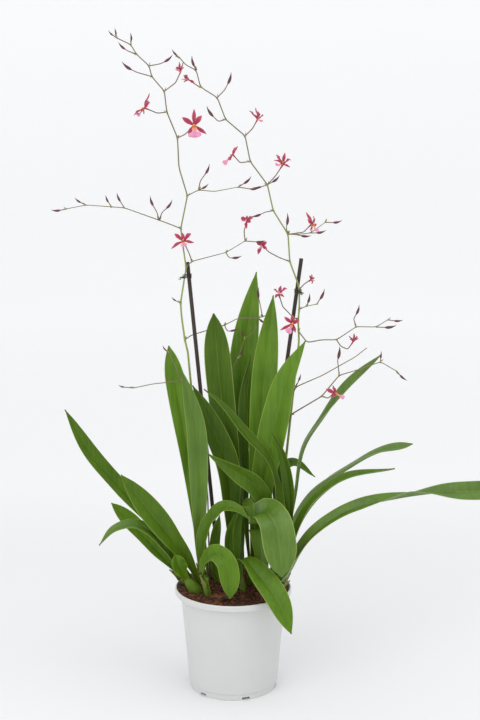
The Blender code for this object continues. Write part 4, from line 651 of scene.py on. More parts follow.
# The parts of each open bloom in the order of PART_KINDS: where the tip stands from the heart in cm, width
# in cm, and how far the middle bows towards the way that the bloom faces.
PART_KINDS = ("sepal", "petal", "petal", "sepal", "sepal", "lip")
BLOOM_PARTS = {
    "bloom_high_left": [
        ((0.0, -0.1, 1.57), 0.36, 0.12), ((-1.14, -0.15, 0.77), 0.42, 0.12),
        ((0.72, -0.15, 0.93), 0.42, 0.12), ((-0.61, 0.1, -0.84), 0.34, 0.1),
        ((1.2, 0.1, -0.84), 0.34, 0.1), ((0.1, -0.35, -1.15), 1.1, 0.12),
    ],
    "bloom_far_left": [
        ((0.49, 0.1, 1.42), 0.34, 0.1), ((0.59, -0.35, 0.59), 0.38, 0.12),
        ((0.3, 0.55, 0.7), 0.38, 0.12), ((-1.1, -0.2, -0.66), 0.32, 0.1),
        ((-0.1, 0.6, -0.6), 0.32, 0.1), ((-0.6, -0.15, -0.8), 0.7, 0.12),
    ],
    "bloom_left_top": [
        ((-0.1, 0.0, 0.95), 0.26, 0.06), ((0.3, -0.3, 0.85), 0.28, 0.06),
        ((-0.45, -0.1, 0.5), 0.28, 0.06), ((0.3, 0.2, 0.5), 0.24, 0.06),
        ((-0.1, 0.35, 0.5), 0.24, 0.06), ((-0.35, -0.45, 0.25), 0.42, 0.08),
    ],
    "bloom_top_right": [
        ((-0.47, -0.1, 0.42), 0.26, 0.08), ((-0.35, 0.35, 0.45), 0.28, 0.08),
        ((-0.15, -0.4, 0.5), 0.28, 0.08), ((0.5, 0.1, -0.26), 0.24, -0.05),
        ((-0.45, -0.3, -0.2), 0.24, 0.08), ((-0.62, -0.4, 0.05), 0.4, 0.08),
    ],
    "bloom_high_right": [
        ((-0.2, 0.0, 1.08), 0.32, 0.1), ((-0.85, -0.1, 0.78), 0.36, 0.1),
        ((0.59, -0.2, 0.4), 0.36, 0.12), ((0.1, 0.45, 0.8), 0.3, 0.1),
        ((-0.45, 0.4, 0.5), 0.3, 0.1), ((0.3, -0.45, -0.2), 0.6, 0.12),
    ],
    "bloom_middle_high": [
        ((0.51, 0.1, 0.84), 0.28, 0.1), ((0.25, 0.45, 0.7), 0.32, 0.1),
        ((0.35, -0.35, 0.55), 0.32, 0.1), ((-0.5, -0.4, -0.45), 0.28, 0.08),
        ((-0.3, 0.45, -0.6), 0.28, 0.08), ((-0.82, -0.2, -0.95), 0.6, 0.12),
    ],
    "bloom_right_high": [
        ((0.2, 0.0, 1.15), 0.32, 0.1), ((-0.68, -0.1, 0.92), 0.36, 0.1),
        ((0.79, -0.1, 0.53), 0.36, 0.1), ((-0.85, 0.15, 0.5), 0.3, 0.08),
        ((0.7, -0.3, -0.25), 0.3, 0.08), ((-0.65, -0.5, -0.1), 0.55, 0.12),
    ],
    "bloom_left_middle": [
        ((-0.08, 0.2, 0.81), 0.32, 0.1), ((-0.89, 0.0, 0.69), 0.36, 0.12),
        ((0.78, 0.0, 0.8), 0.36, 0.12), ((-1.22, -0.3, -0.68), 0.3, 0.1),
        ((1.08, -0.3, -0.14), 0.3, 0.1), ((0.1, -0.7, -0.45), 0.6, 0.1),
    ],
    "bloom_centre": [
        ((0.0, 0.2, 0.5), 0.34, 0.05), ((-0.6, -0.2, 0.3), 0.4, 0.1),
        ((0.6, -0.2, 0.35), 0.4, 0.1), ((-0.07, -0.3, -0.72), 0.32, 0.08),
        ((0.4, -0.4, -0.1), 0.32, 0.08), ((-0.3, -0.5, 0.0), 0.45, 0.1),
    ],
    "bloom_middle": [
        ((0.0, 0.2, 0.5), 0.3, 0.06), ((-0.5, 0.0, 0.45), 0.36, 0.1),
        ((0.45, -0.1, 0.4), 0.36, 0.1), ((-0.45, -0.25, -0.85), 0.34, 0.08),
        ((0.5, -0.2, -0.3), 0.3, 0.08), ((-0.15, -0.6, -0.2), 0.45, 0.1),
    ],
    "bloom_right_upper": [
        ((-0.6, 0.15, 1.15), 0.32, 0.1), ((-0.49, -0.3, 0.52), 0.36, 0.12),
        ((0.2, 0.5, 0.7), 0.36, 0.12), ((0.5, 0.45, -0.2), 0.3, 0.1),
        ((-0.2, -0.5, -0.6), 0.3, 0.1), ((0.44, -0.45, -0.7), 0.75, 0.12),
    ],
    "bloom_right_small": [
        ((0.1, 0.1, 0.5), 0.24, 0.06), ((-0.2, -0.15, 0.4), 0.26, 0.06),
        ((0.32, -0.1, 0.25), 0.26, 0.06), ((0.15, -0.25, -0.4), 0.22, 0.06),
        ((-0.15, 0.2, -0.3), 0.22, 0.06), ((0.35, -0.3, -0.1), 0.3, 0.06),
    ],
    "bloom_right_curled": [
        ((0.2, 0.3, 0.85), 0.32, 0.1), ((-0.55, -0.1, 0.5), 0.34, 0.16),
        ((0.86, 0.0, 0.64), 0.34, 0.16), ((-0.4, -0.45, -0.25), 0.3, 0.1),
        ((0.5, -0.45, -0.2), 0.3, 0.1), ((0.1, -0.75, 0.2), 0.55, 0.12),
    ],
    "bloom_front": [
        ((-0.05, 0.05, 0.9), 0.34, 0.14), ((-0.85, -0.1, 0.7), 0.32, 0.14),
        ((0.65, -0.2, 0.45), 0.32, 0.2), ((-1.3, -0.1, -0.68), 0.28, 0.1),
        ((0.29, 0.05, -0.95), 0.3, 0.1), ((-0.5, -0.4, -0.92), 0.6, 0.14),
    ],
    "bloom_far_right": [
        ((-0.4, 0.0, 0.6), 0.3, 0.1), ((0.1, 0.3, 0.78), 0.34, 0.1),
        ((0.5, 0.0, 0.55), 0.34, 0.1), ((0.35, -0.35, 0.35), 0.3, 0.1),
        ((-0.35, -0.35, 0.35), 0.3, 0.1), ((0.4, 0.45, 0.3), 0.5, 0.1),
    ],
    "bloom_low_right": [
        ((-0.13, 0.15, 0.75), 0.32, 0.02), ((-0.93, 0.0, 0.44), 0.36, 0.14),
        ((0.1, 0.5, 0.4), 0.36, 0.1), ((0.1, 0.45, -0.5), 0.3, 0.08),
        ((-0.4, -0.45, -0.4), 0.3, 0.08), ((0.95, -0.35, -0.45), 0.4, 0.1),
    ],
}


# Ways of making lines, surfaces and solids.


def unit(vectors):
    vectors = np.asarray(vectors, float)
    return vectors / np.linalg.norm(vectors, axis=-1, keepdims=True)


def cm(points):
    return np.array(points, float) * CM


def eased(low, high, share):
    share = np.clip((share - low) / (high - low), 0.0, 1.0)
    return share * share * (3 - 2 * share)


def evenly(points, count):
    """Points at equal steps of length along a line of points."""
    lengths = np.concatenate([[0.0], np.cumsum(np.linalg.norm(np.diff(points, axis=0), axis=1))])
    wanted = np.linspace(0.0, lengths[-1], count)
    return np.stack([np.interp(wanted, lengths, points[:, k]) for k in range(3)], axis=1)


def smooth_route(points, count):
    """Evenly spaced points along a smooth curve through the given points."""
    points = np.array(points, float)
    spans = np.linalg.norm(np.diff(points, axis=0), axis=1)
    steps = np.diff(points, axis=0) / spans[:, None]
    slopes = np.empty_like(points)
    slopes[0], slopes[-1] = steps[0], steps[-1]
    slopes[1:-1] = (steps[:-1] * spans[1:, None] + steps[1:] * spans[:-1, None]) / (
        spans[1:] + spans[:-1]
    )[:, None]
    t = np.linspace(0, 1, CURVE_STEPS, endpoint=False)[:, None]
    fine = [
        points[i] * (2 * t**3 - 3 * t**2 + 1) + slopes[i] * span * (t**3 - 2 * t**2 + t)
        + points[i + 1] * (3 * t**2 - 2 * t**3) + slopes[i + 1] * span * (t**3 - t**2)
        for i, span in enumerate(spans)
    ]
    return evenly(np.vstack([*fine, points[-1:]]), count)


def rounded_corners(points, cut):
    """The same line with each corner turned into a short bend."""
    points = np.array(points, float)
    line = [points[0]]
    for before, corner, after in zip(points, points[1:], points[2:]):
        reach_in = min(cut, np.linalg.norm(corner - before) * 0.4)
        reach_out = min(cut, np.linalg.norm(after - corner) * 0.4)
        start = corner + unit(before - corner) * reach_in
        end = corner + unit(after - corner) * reach_out
        for t in np.linspace(0, 1, BEND_STEPS):
            line.append(start * (1 - t) ** 2 + corner * 2 * t * (1 - t) + end * t**2)
    line.append(points[-1])
    return np.array(line)


def profiled(profile, shares):
    """The profile's value at each share, between its own points."""
    return np.interp(shares, *zip(*profile))


def turned_place(reach, angle, height):
    """A point at this distance from the pot's axis, angle and height, from cm to metres."""
    return np.array((reach * math.cos(angle), reach * math.sin(angle), height)) * CM


def tangents(points):
    ends = np.vstack([points[:1], points, points[-1:]])
    return unit(ends[2:] - ends[:-2])


class Shape:
    """Points, faces and the values that a material reads at each point, gathered for one mesh."""

    def __init__(self):
        self.points, self.faces, self.values, self.count = [], [], [], 0

    def add(self, points, faces, across=0.0, along=0.0, tone=0.0):
        points = np.asarray(points, float).reshape(-1, 3)
        rows = np.empty((len(points), 3))
        rows[:, 0], rows[:, 1], rows[:, 2] = across, along, tone
        self.points.append(points)
        self.values.append(rows)
        self.faces += [tuple(int(i) + self.count for i in face) for face in faces]
        self.count += len(points)

    def piece(self, name, finish, slot, nodes=(), sharp=PLAIN_EDGE):
        """The gathered mesh as a piece that rides on the part and stands for the given solids."""
        mesh = bpy.data.meshes.new(name)
        mesh.from_pydata(np.vstack(self.points).tolist(), [], self.faces)
        values = np.vstack(self.values)
        for k, what in enumerate(("across", "along", "tone")):
            layer = mesh.attributes.new(what, "FLOAT", "POINT")
            layer.data.foreach_set("value", values[:, k].astype(np.float32))
        mesh.materials.append(finish)
        mesh.shade_smooth()
        mesh.set_sharp_from_angle(angle=math.radians(sharp))
        made = bpy.data.objects.new(name, mesh)
        bpy.context.scene.collection.objects.link(made)
        return attached(made, nodes)


def attached(made, nodes=()):
    """The piece riding on the part, with the solids that it stands for hidden."""
    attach(made, "root")
    if nodes:
        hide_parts(*nodes)
    return made


def ring_faces(rings, size):
    """Quads between neighbouring rings and a cap on each end."""
    faces = []
    for row in range(rings - 1):
        low, high = row * size, (row + 1) * size
        for i in range(size):
            j = (i + 1) % size
            faces.append((low + i, low + j, high + j, high + i))
    faces.append(tuple(range(size))[::-1])
    faces.append(tuple(range((rings - 1) * size, rings * size)))
    return faces


def ring_frames(line):
    """Two directions square to a line at each of its points, carried along without twisting."""
    ways = tangents(line)
    across = np.empty_like(ways)
    across[0] = unit(np.cross(ways[0], UP if abs(ways[0][2]) < 0.9 else (1.0, 0.0, 0.0)))
    for i in range(1, len(ways)):
        carried = across[i - 1] - ways[i] * across[i - 1].dot(ways[i])
        across[i] = unit(carried)
    return across, np.cross(ways, across)


def add_tube(shape, line, radii, sides, tone=0.0, ridges=0.0):
    """A closed round tube along a line, with a radius at each point."""
    across, other = ring_frames(line)
    turns = np.linspace(0, 2 * math.pi, sides, endpoint=False)
    wide = 1 + ridges * np.cos(3 * turns)
    radii = np.asarray(radii, float)
    rings = line[:, None, :] + radii[:, None, None] * wide[None, :, None] * (
        across[:, None, :] * np.cos(turns)[None, :, None]
        + other[:, None, :] * np.sin(turns)[None, :, None]
    )
    along = np.repeat(np.linspace(0, 1, len(line)), sides)
    around = np.tile(np.cos(turns), len(line))
    shade = np.repeat(tone, sides) if np.ndim(tone) else tone
    shape.add(rings.reshape(-1, 3), ring_faces(len(line), sides), around, along, shade)


def add_blade(shape, places, ways, normals, widths, folds, bow, waves, thick, columns, tone=0.0):
    """A closed thin blade: two curved halves that rise from a midrib, and an underside below them."""
    rows = len(places)
    sides = np.cross(ways, normals)
    s = np.linspace(0, 1, columns + 1) ** COLUMN_SPACING
    angles = folds[:, None] + bow * (1 - 2 * s)[None, :]
    step = np.diff(s)
    middles = (angles[:, 1:] + angles[:, :-1]) / 2
    out = np.concatenate([np.zeros((rows, 1)), np.cumsum(np.cos(middles) * step, axis=1)], axis=1)
    up = np.concatenate([np.zeros((rows, 1)), np.cumsum(np.sin(middles) * step, axis=1)], axis=1)
    rib = thick * RIB_EXTRA * np.exp(-((s / RIB_REACH) ** 2))
    depth = thick * (1 - EDGE_THINNING * s)[None, :] + rib[None, :]
    tops, unders = [], []
    for sign in (-1, 1):
        wave = waves[sign < 0][:, None] * (s**2)[None, :]
        top = (
            places[:, None, :] + sign * sides[:, None, :] * (out * widths[:, None])[:, :, None]
            + normals[:, None, :] * (up * widths[:, None] + wave)[:, :, None]
        )
        local = (
            normals[:, None, :] * np.cos(angles)[:, :, None]
            - sign * sides[:, None, :] * np.sin(angles)[:, :, None]
        )
        local[:, 0] = normals
        tops.append(top)
        unders.append(top - local * depth[:, :, None])
    ring = np.concatenate(
        [tops[0][:, ::-1], tops[1][:, 1:], unders[1][:, ::-1], unders[0][:, 1:]], axis=1
    )
    edge = np.concatenate([-s[::-1], s[1:], s[::-1], -s[1:]])
    size = ring.shape[1]
    along = np.repeat(np.linspace(0, 1, rows), size)
    lower = np.concatenate([np.zeros(2 * columns + 1), np.ones(2 * columns + 1)])
    shape.add(
        ring.reshape(-1, 3), ring_faces(rows, size), np.tile(edge, rows), along,
        np.tile(lower, rows) * 0.5 + tone,
    )


def lathe_points(profile, sides):
    """Rings of points turned round Z from a profile of radius and height whose ends lie on the axis."""
    turns = np.linspace(0, 2 * math.pi, sides, endpoint=False)
    points, rows = [], []
    for radius, height in profile:
        start = len(points)
        if radius == 0:
            rows.append([start])
            points.append((0.0, 0.0, height))
            continue
        rows.append(list(range(start, start + sides)))
        points += [(radius * math.cos(t), radius * math.sin(t), height) for t in turns]
    faces = []
    for low, high in zip(rows, rows[1:]):
        for k in range(sides):
            corners = [low[k % len(low)], low[(k + 1) % len(low)]]
            corners += [high[(k + 1) % len(high)], high[k % len(high)]]
            faces.append(tuple(dict.fromkeys(corners)))
    return points, faces


# Materials.


class Finish:
    """A material with one shader and the nodes that feed it."""

    def __init__(self, name, roughness, coat=0.0, coat_roughness=0.3, sheen=0.0):
        self.material = bpy.data.materials.new(name)
        self.material.use_nodes = True
        self.nodes = self.material.node_tree.nodes
        self.links = self.material.node_tree.links
        self.shader = self.nodes["Principled BSDF"]
        self.shader.inputs["Roughness"].default_value = roughness
        self.shader.inputs["Coat Weight"].default_value = coat
        self.shader.inputs["Coat Roughness"].default_value = coat_roughness
        self.shader.inputs["Sheen Weight"].default_value = sheen

    def node(self, kind, **settings):
        made = self.nodes.new(kind)
        for what, value in settings.items():
            setattr(made, what, value)
        return made

    def value(self, name):
        """A value that the mesh carries at each point."""
        return self.node("ShaderNodeAttribute", attribute_name=name).outputs["Fac"]

    def sum(self, operation, *terms):
        """What a maths node makes of its terms."""
        made = self.node("ShaderNodeMath", operation=operation)
        for k, term in enumerate(terms):
            self.plug(term, made.inputs[k])
        return made.outputs[0]

    def plug(self, source, socket):
        """Link a node's output to the socket, or set the socket to a number or a colour."""
        if isinstance(source, bpy.types.NodeSocket):
            self.links.new(source, socket)
        elif isinstance(source, (int, float)):
            socket.default_value = source
        else:
            socket.default_value = (*source, 1.0)

    def mix(self, share, first, second):
        """A colour between the two, the second where the share is one."""
        made = self.node("ShaderNodeMix", data_type="RGBA")
        self.plug(share, made.inputs["Factor"])
        self.plug(first, made.inputs[6])
        self.plug(second, made.inputs[7])
        return made.outputs[2]

    def steps(self, share, *stops):
        """A ramp between grey values at the given places."""
        ramp = self.node("ShaderNodeValToRGB")
        self.plug(share, ramp.inputs["Fac"])
        while len(ramp.color_ramp.elements) < len(stops):
            ramp.color_ramp.elements.new(0.5)
        for stop, (place, grey) in zip(ramp.color_ramp.elements, stops):
            stop.position, stop.color = place, (grey, grey, grey, 1.0)
        return ramp.outputs["Color"]

    def speckle(self, size, detail=4.0, stretch=(1.0, 1.0, 1.0)):
        """Soft noise in the object's own space, with lumps of about this size in metres."""
        mapping = self.node("ShaderNodeMapping")
        mapping.inputs["Scale"].default_value = stretch
        self.plug(self.node("ShaderNodeTexCoord").outputs["Object"], mapping.inputs["Vector"])
        made = self.node("ShaderNodeTexNoise")
        self.plug(1.0 / size, made.inputs["Scale"])
        self.plug(detail, made.inputs["Detail"])
        self.plug(mapping.outputs["Vector"], made.inputs["Vector"])
        return made.outputs["Fac"]

    def colour(self, source):
        self.plug(source, self.shader.inputs["Base Color"])

    def bump(self, height, strength, distance):
        made = self.node("ShaderNodeBump")
        self.plug(strength, made.inputs["Strength"])
        self.plug(distance, made.inputs["Distance"])
        self.plug(height, made.inputs["Height"])
        self.plug(made.outputs["Normal"], self.shader.inputs["Normal"])


# Settings.


def colour_setting(name, description, default):
    return bpy.props.FloatVectorProperty(
        name=name, description=description, subtype="COLOR", size=3, min=0, max=1, default=default)


def share_setting(name, description, default):
    return bpy.props.FloatProperty(
        name=name, description=description, subtype="FACTOR", min=0, max=1, default=default)


class LeafSettings(bpy.types.PropertyGroup):
    """Colours and surface of the leaf blades."""

    deep_colour: colour_setting("Deep green", "Colour of the darker patches of a leaf", (0.038, 0.092, 0.003))
    bright_colour: colour_setting(
        "Bright green", "Colour of the lighter patches of a leaf", (0.086, 0.175, 0.006))
    vein_colour: colour_setting("Vein colour", "Colour of the fine lengthwise veins", (0.13, 0.23, 0.016))
    foot_colour: colour_setting("Foot colour", "Yellower green near the foot of a leaf", (0.12, 0.19, 0.006))
    under_colour: colour_setting("Underside colour", "Paler green of the underside", (0.11, 0.21, 0.02))
    rib_colour: colour_setting("Midrib colour", "Pale line along the midrib", (0.15, 0.26, 0.025))
    # Painted highlight: a thin pale line along the edges of each blade.
    painted_edge_highlight_colour: colour_setting("Edge colour", "Thin pale line along the edges", (0.3, 0.42, 0.07))
    veins: bpy.props.FloatProperty(
        name="Veins", description="Veins in each half of a leaf", min=2, max=40, default=18)
    roughness: share_setting("Roughness", "Roughness of the blade below its gloss", 0.42)
    gloss: share_setting("Gloss", "Strength of the waxy coat", 0.05)
    wave: bpy.props.FloatProperty(
        name="Edge wave", description="How far the edges of a leaf wave up and down",
        unit="LENGTH", min=0, max=0.005, default=0.0009)
    thickness: bpy.props.FloatProperty(
        name="Thickness", description="Thickness of a blade beside its midrib",
        unit="LENGTH", min=0.0003, max=0.002, default=0.0006)


class StemSettings(bpy.types.PropertyGroup):
    """Colours of the flower stems, buds and scale leaves."""

    low_colour: colour_setting("Stem green", "Colour of the main stems low down", (0.27, 0.36, 0.08))
    high_colour: colour_setting("Twig colour", "Colour of the thin twigs", (0.17, 0.11, 0.065))
    scale_colour: colour_setting(
        "Scale colour", "Colour of the small scale leaves at the stem's nodes", (0.3, 0.2, 0.1))
    bud_colour: colour_setting("Bud maroon", "Colour of the closed buds", (0.045, 0.008, 0.014))
    bud_tip_colour: colour_setting(
        "Bud edge", "Colour of the lighter ribs and foot of a bud", (0.13, 0.03, 0.035))
    roughness: share_setting("Roughness", "Roughness of stems and buds", 0.5)


class BloomSettings(bpy.types.PropertyGroup):
    """Colours of the open blooms."""

    petal_colour: colour_setting("Petal crimson", "Main colour of petals and sepals", (0.36, 0.018, 0.06))
    petal_edge_colour: colour_setting(
        "Petal edge", "Lighter pink of the petals' edges and tips", (0.56, 0.11, 0.19))
    lip_colour: colour_setting("Lip pink", "Pale pink of the lip", (0.8, 0.32, 0.5))
    heart_colour: colour_setting(
        "Heart orange", "Colour of the column and of the lip's callus", (0.85, 0.3, 0.04))
    roughness: share_setting("Roughness", "Roughness of the petals", 0.5)
    thickness: bpy.props.FloatProperty(
        name="Thickness", description="Thickness of a petal",
        unit="LENGTH", min=0.0001, max=0.001, default=0.00035)


class PotSettings(bpy.types.PropertyGroup):
    """Sizes and colour of the nursery pot, the stakes and their ties."""

    pot_colour: colour_setting("Pot grey", "Colour of the pot's plastic", (0.665, 0.668, 0.655))
    pot_roughness: share_setting("Pot roughness", "Roughness of the pot's plastic", 0.42)
    rim_edge: bpy.props.FloatProperty(
        name="Rim edge", description="Radius of the rounded edges of the rim",
        unit="LENGTH", min=0.0001, max=0.002, default=0.0006)
    stake_colour: colour_setting("Stake brown", "Colour of the stakes and ties", (0.02, 0.011, 0.009))
    stake_radius: bpy.props.FloatProperty(
        name="Stake radius", description="Radius of a stake",
        unit="LENGTH", min=0.001, max=0.004, default=STAKE_RADIUS * CM)


class MixSettings(bpy.types.PropertyGroup):
    """Amount and colours of the bark mix and what lies on it."""

    # The darkest colour of the mix; the ground between the chips shows the most of it.
    dark_colour: colour_setting("Dark bark", "Colour of the damp bark in the gaps", (0.016, 0.005, 0.002))
    # The paler, redder colour of the bark patches, which show more on the chips than on the ground.
    light_colour: colour_setting("Light bark", "Colour of the drier chips", (0.26, 0.085, 0.03))
    fibre_colour: colour_setting("Fibre colour", "Colour of the coconut fibres", (0.62, 0.25, 0.1))
    chips: bpy.props.IntProperty(
        name="Chips", description="Number of bark chips on top", min=0, max=3000, default=900)
    fibres: bpy.props.IntProperty(
        name="Fibres", description="Number of coconut fibres on top", min=0, max=1500, default=700)
    seed: bpy.props.IntProperty(name="Seed", description="Seed of the chips and fibres", default=7)


class StageSettings(bpy.types.PropertyGroup):
    """Floor, lights and camera."""

    # Painted light: the floor lightens from this colour near the pot to the backdrop colour at the back.
    floor_colour: colour_setting("Floor colour", "Colour of the floor round the pot", (0.86, 0.86, 0.865))
    backdrop_colour: colour_setting(
        "Backdrop colour", "Colour of the backdrop and the far end of the floor", (0.94, 0.94, 0.94))
    key_power: bpy.props.FloatProperty(
        name="Key light", description="Power of the large light in front", unit="POWER", min=0, default=13.0)
    fill_power: bpy.props.FloatProperty(
        name="Fill light", description="Power of the light overhead", unit="POWER", min=0, default=11.0)
    sky: bpy.props.FloatProperty(
        name="Room light", description="Brightness of the white room around", min=0, max=5, default=0.78)
    camera_height: bpy.props.FloatProperty(
        name="Camera height", description="Height of the camera above the floor",
        unit="LENGTH", default=0.64)
    camera_distance: bpy.props.FloatProperty(
        name="Camera distance", description="Distance of the camera in front of the pot's middle",
        unit="LENGTH", default=1.45)
    camera_tilt: bpy.props.FloatProperty(
        name="Camera tilt", description="How far the camera looks down",
        subtype="ANGLE", default=math.radians(11.5))
    lens: bpy.props.FloatProperty(
        name="Lens", description="Focal length on a 36 mm sensor", unit="CAMERA", default=73.85)


# Leaves.


def leaf_finish(name, settings, deep, bright, glossy):
    """Glossy leaf green, with lengthwise veins, a pale midrib line, a pale painted highlight along the edges
    and a yellower foot.
    """
    finish = Finish(name, settings.roughness, coat=settings.gloss * glossy, coat_roughness=0.32)
    finish.shader.inputs["Specular IOR Level"].default_value = LEAF_SPECULAR * glossy
    across, along, tone = finish.value("across"), finish.value("along"), finish.value("tone")
    edge = finish.sum("ABSOLUTE", across)
    veins = finish.sum("SINE", finish.sum("MULTIPLY", across, settings.veins * math.pi))
    patch = finish.steps(finish.speckle(0.03), (0.3, 0.25), (0.75, 0.7))
    streak = finish.steps(finish.speckle(0.003, 3.0, (1.0, 1.0, 0.05)), (0.35, 0.0), (0.68, 0.45))
    body = finish.mix(finish.sum("ADD", patch, streak), deep, bright)
    striped = finish.mix(finish.sum("MULTIPLY_ADD", veins, 0.09, 0.1), body, settings.vein_colour)
    foot = finish.steps(along, (0.12, 0.75), (0.42, 0.0))
    striped = finish.mix(foot, striped, settings.foot_colour)
    under = finish.steps(tone, (0.3, 0.0), (0.45, 1.0))
    striped = finish.mix(finish.sum("MULTIPLY", under, 0.45), striped, settings.under_colour)
    rib = finish.steps(edge, (0.0, 0.4), (0.02, 0.22), (0.05, 0.0))
    striped = finish.mix(rib, striped, settings.rib_colour)
    # Painted highlight: a thin pale line along the blade's edges.
    rim = finish.steps(edge, (0.935, 0.0), (0.98, 0.7))
    striped = finish.mix(rim, striped, settings.painted_edge_highlight_colour)
    finish.colour(striped)
    finish.bump(veins, 0.25, 0.0002)
    return finish.material


def leaf_half_width(share, widest, bluntness, foot=LEAF_BASE_SHARE):
    """Half width of a blade as a share of its widest, from a narrow clasping base to a pointed tip."""
    width = foot + (1 - foot) * eased(CLASP_END, widest, share)
    past = np.maximum(0.0, (share - widest) / (1 - widest))
    return width * (1 - past**bluntness)


def leaf_fold(share):
    """How far each half of a blade is folded up from flat: much at the base, little at the tip."""
    opened = BASE_FOLD + (MIDDLE_FOLD - BASE_FOLD) * eased(*BASE_UNFOLDS, share)
    return opened + (TIP_FOLD - MIDDLE_FOLD) * eased(*TIP_UNFOLDS, share)


def looks_along(looks, ways):
    """The way that a blade's upper face looks at each row, square to the blade."""
    looks = unit(looks)
    place = np.linspace(0, len(looks) - 1, len(ways))
    face = np.stack([np.interp(place, range(len(looks)), looks[:, k]) for k in range(3)], axis=1)
    return unit(face - ways * np.sum(face * ways, axis=1, keepdims=True))


def add_leaf(shape, settings, half_width, route, looks, end, clasping=True, rows=LEAF_ROWS, phase=0.0):
    """A leaf blade along its route, folded at its base if it clasps, with waves in both its edges."""
    places = smooth_route(route, rows)
    ways = tangents(places)
    normals = looks_along(looks, ways)
    share = np.linspace(0, 1, rows)
    widths = np.maximum(half_width * leaf_half_width(share, *end), TIP_HALF_WIDTH)
    folds = leaf_fold(share) if clasping else np.full(rows, MIDDLE_FOLD)
    swell = settings.wave * np.sin(math.pi * share) * (widths / half_width)
    waves = [
        swell * np.sin(2 * math.pi * (WAVE_COUNT * share + phase + side * WAVE_OFFSET)) for side in (0, 1)
    ]
    bow = HALF_BOW * eased(*BOW_GROWS, share)[:, None]
    add_blade(shape, places, ways, normals, widths, folds, bow, waves, settings.thickness, LEAF_COLUMNS)


class ORCHID_OT_leaves(bpy.types.Operator):
    """Make the 27 leaf blades"""

    bl_idname = "orchid.leaves"
    bl_label = "Leaves"

    def execute(self, context):
        settings = context.scene.orchid_leaves
        # Copies of one green, each brighter or darker by kind: partly the leaves' own colour, partly painted
        # light and shade.
        deep, bright = np.array(settings.deep_colour), np.array(settings.bright_colour)
        finishes = {
            tint: leaf_finish(f"leaf green {tint}", settings, deep * shade, bright * shade, glossy)
            for tint, (shade, glossy) in LEAF_TINTS_AND_PAINTED_LIGHT.items()
        }
        for k, (name, (half_width, root, route, looks)) in enumerate(LEAVES.items()):
            x, y = root
            foot = [(x, y, SOIL_EDGE - ROOT_DEPTH), (x, y, SOIL_EDGE + SOIL_MOUND)]
            shape = Shape()
            end = (*LEAF_ENDS.get(name, USUAL_END), WIDE_FEET.get(name, LEAF_BASE_SHARE))
            add_leaf(shape, settings, half_width * CM, cm(foot + route), looks, end, phase=k * PHASE_STEP)
            tint = PAINTED_LIGHT_KIND_OF_LEAF.get(name, "middle")
            shape.piece(name + "_blade", finishes[tint], "leaf", [name], sharp=BLADE_EDGE)
        return {"FINISHED"}


# Flower stems, buds and scale leaves.


def stem_finish(settings):
    """Smooth green stem that turns brown along its twigs."""
    finish = Finish("stem green", settings.roughness, coat=0.1)
    tone = finish.value("tone")
    mottle = finish.steps(finish.speckle(0.006), (0.3, 0.0), (0.75, 0.35))
    base = finish.mix(tone, settings.low_colour, settings.high_colour)
    finish.colour(finish.mix(mottle, base, settings.high_colour))
    return finish.material


def scale_finish(settings):
    """Papery scale leaf."""
    finish = Finish("scale brown", 0.7)
    along = finish.value("along")
    finish.colour(finish.mix(along, settings.low_colour, settings.scale_colour))
    return finish.material


def bud_finish(settings):
    """Dark maroon bud with lighter ribs and foot."""
    finish = Finish("bud maroon", settings.roughness, coat=0.15)
    along, across = finish.value("along"), finish.value("across")
    rib = finish.steps(finish.sum("ABSOLUTE", across), (0.75, 0.0), (1.0, 0.45))
    foot = finish.steps(along, (0.35, 0.9), (0.62, 0.0))
    base = finish.mix(rib, settings.bud_colour, settings.bud_tip_colour)
    finish.colour(finish.mix(foot, base, settings.bud_tip_colour))
    return finish.material


def stem_line(route):
    """Evenly spaced points along a stem's route, from cm to metres, with its corners bent round."""
    line = rounded_corners(cm(route), STEM_BEND)
    lengths = np.linalg.norm(np.diff(line, axis=0), axis=1).sum()
    return evenly(line, max(6, int(lengths / STEM_STEP)))


def node_swelling(line, joints):
    """A little extra thickness where a twig leaves the stem."""
    extra = np.zeros(len(line))
    for joint in joints:
        gap = np.linalg.norm(line - joint, axis=1)
        extra = np.maximum(extra, np.exp(-((gap / NODE_LENGTH) ** 2)))
    return extra


def add_scale(shape, place, along, out, length, radius):
    """A small pointed scale leaf that clasps the stem at a node."""
    along, out = unit(along), np.asarray(out, float)
    out = unit(out - along * along.dot(out))
    side = np.cross(along, out)
    rows, columns = 7, 5
    points, across, share = [], [], []
    for inner in (0, 1):
        for i in range(rows):
            t = i / (rows - 1)
            half = SCALE_WRAP * (1 - t) ** 0.8 + 0.04
            reach = radius * (1.12 + 0.9 * t**1.5) - inner * SCALE_THICKNESS * (1 - 0.6 * t)
            for j in range(columns):
                turn = half * (2 * j / (columns - 1) - 1)
                spot = place + along * length * (t - 0.12)
                points.append(spot + (out * math.cos(turn) + side * math.sin(turn)) * reach)
                across.append(2 * j / (columns - 1) - 1)
                share.append(t)
    faces, under = [], rows * columns
    for i in range(rows - 1):
        for j in range(columns - 1):
            a = i * columns + j
            quad = (a, a + 1, a + columns + 1, a + columns)
            faces += [quad, tuple(under + q for q in quad[::-1])]
    rim = [*range(columns)] + [i * columns + columns - 1 for i in range(1, rows)]
    rim += [(rows - 1) * columns + j for j in range(columns - 2, -1, -1)]
    rim += [i * columns for i in range(rows - 2, 0, -1)]
    for a, b in zip(rim, rim[1:] + rim[:1]):
        faces.append((b, a, under + a, under + b))
    shape.add(points, faces, across, share)


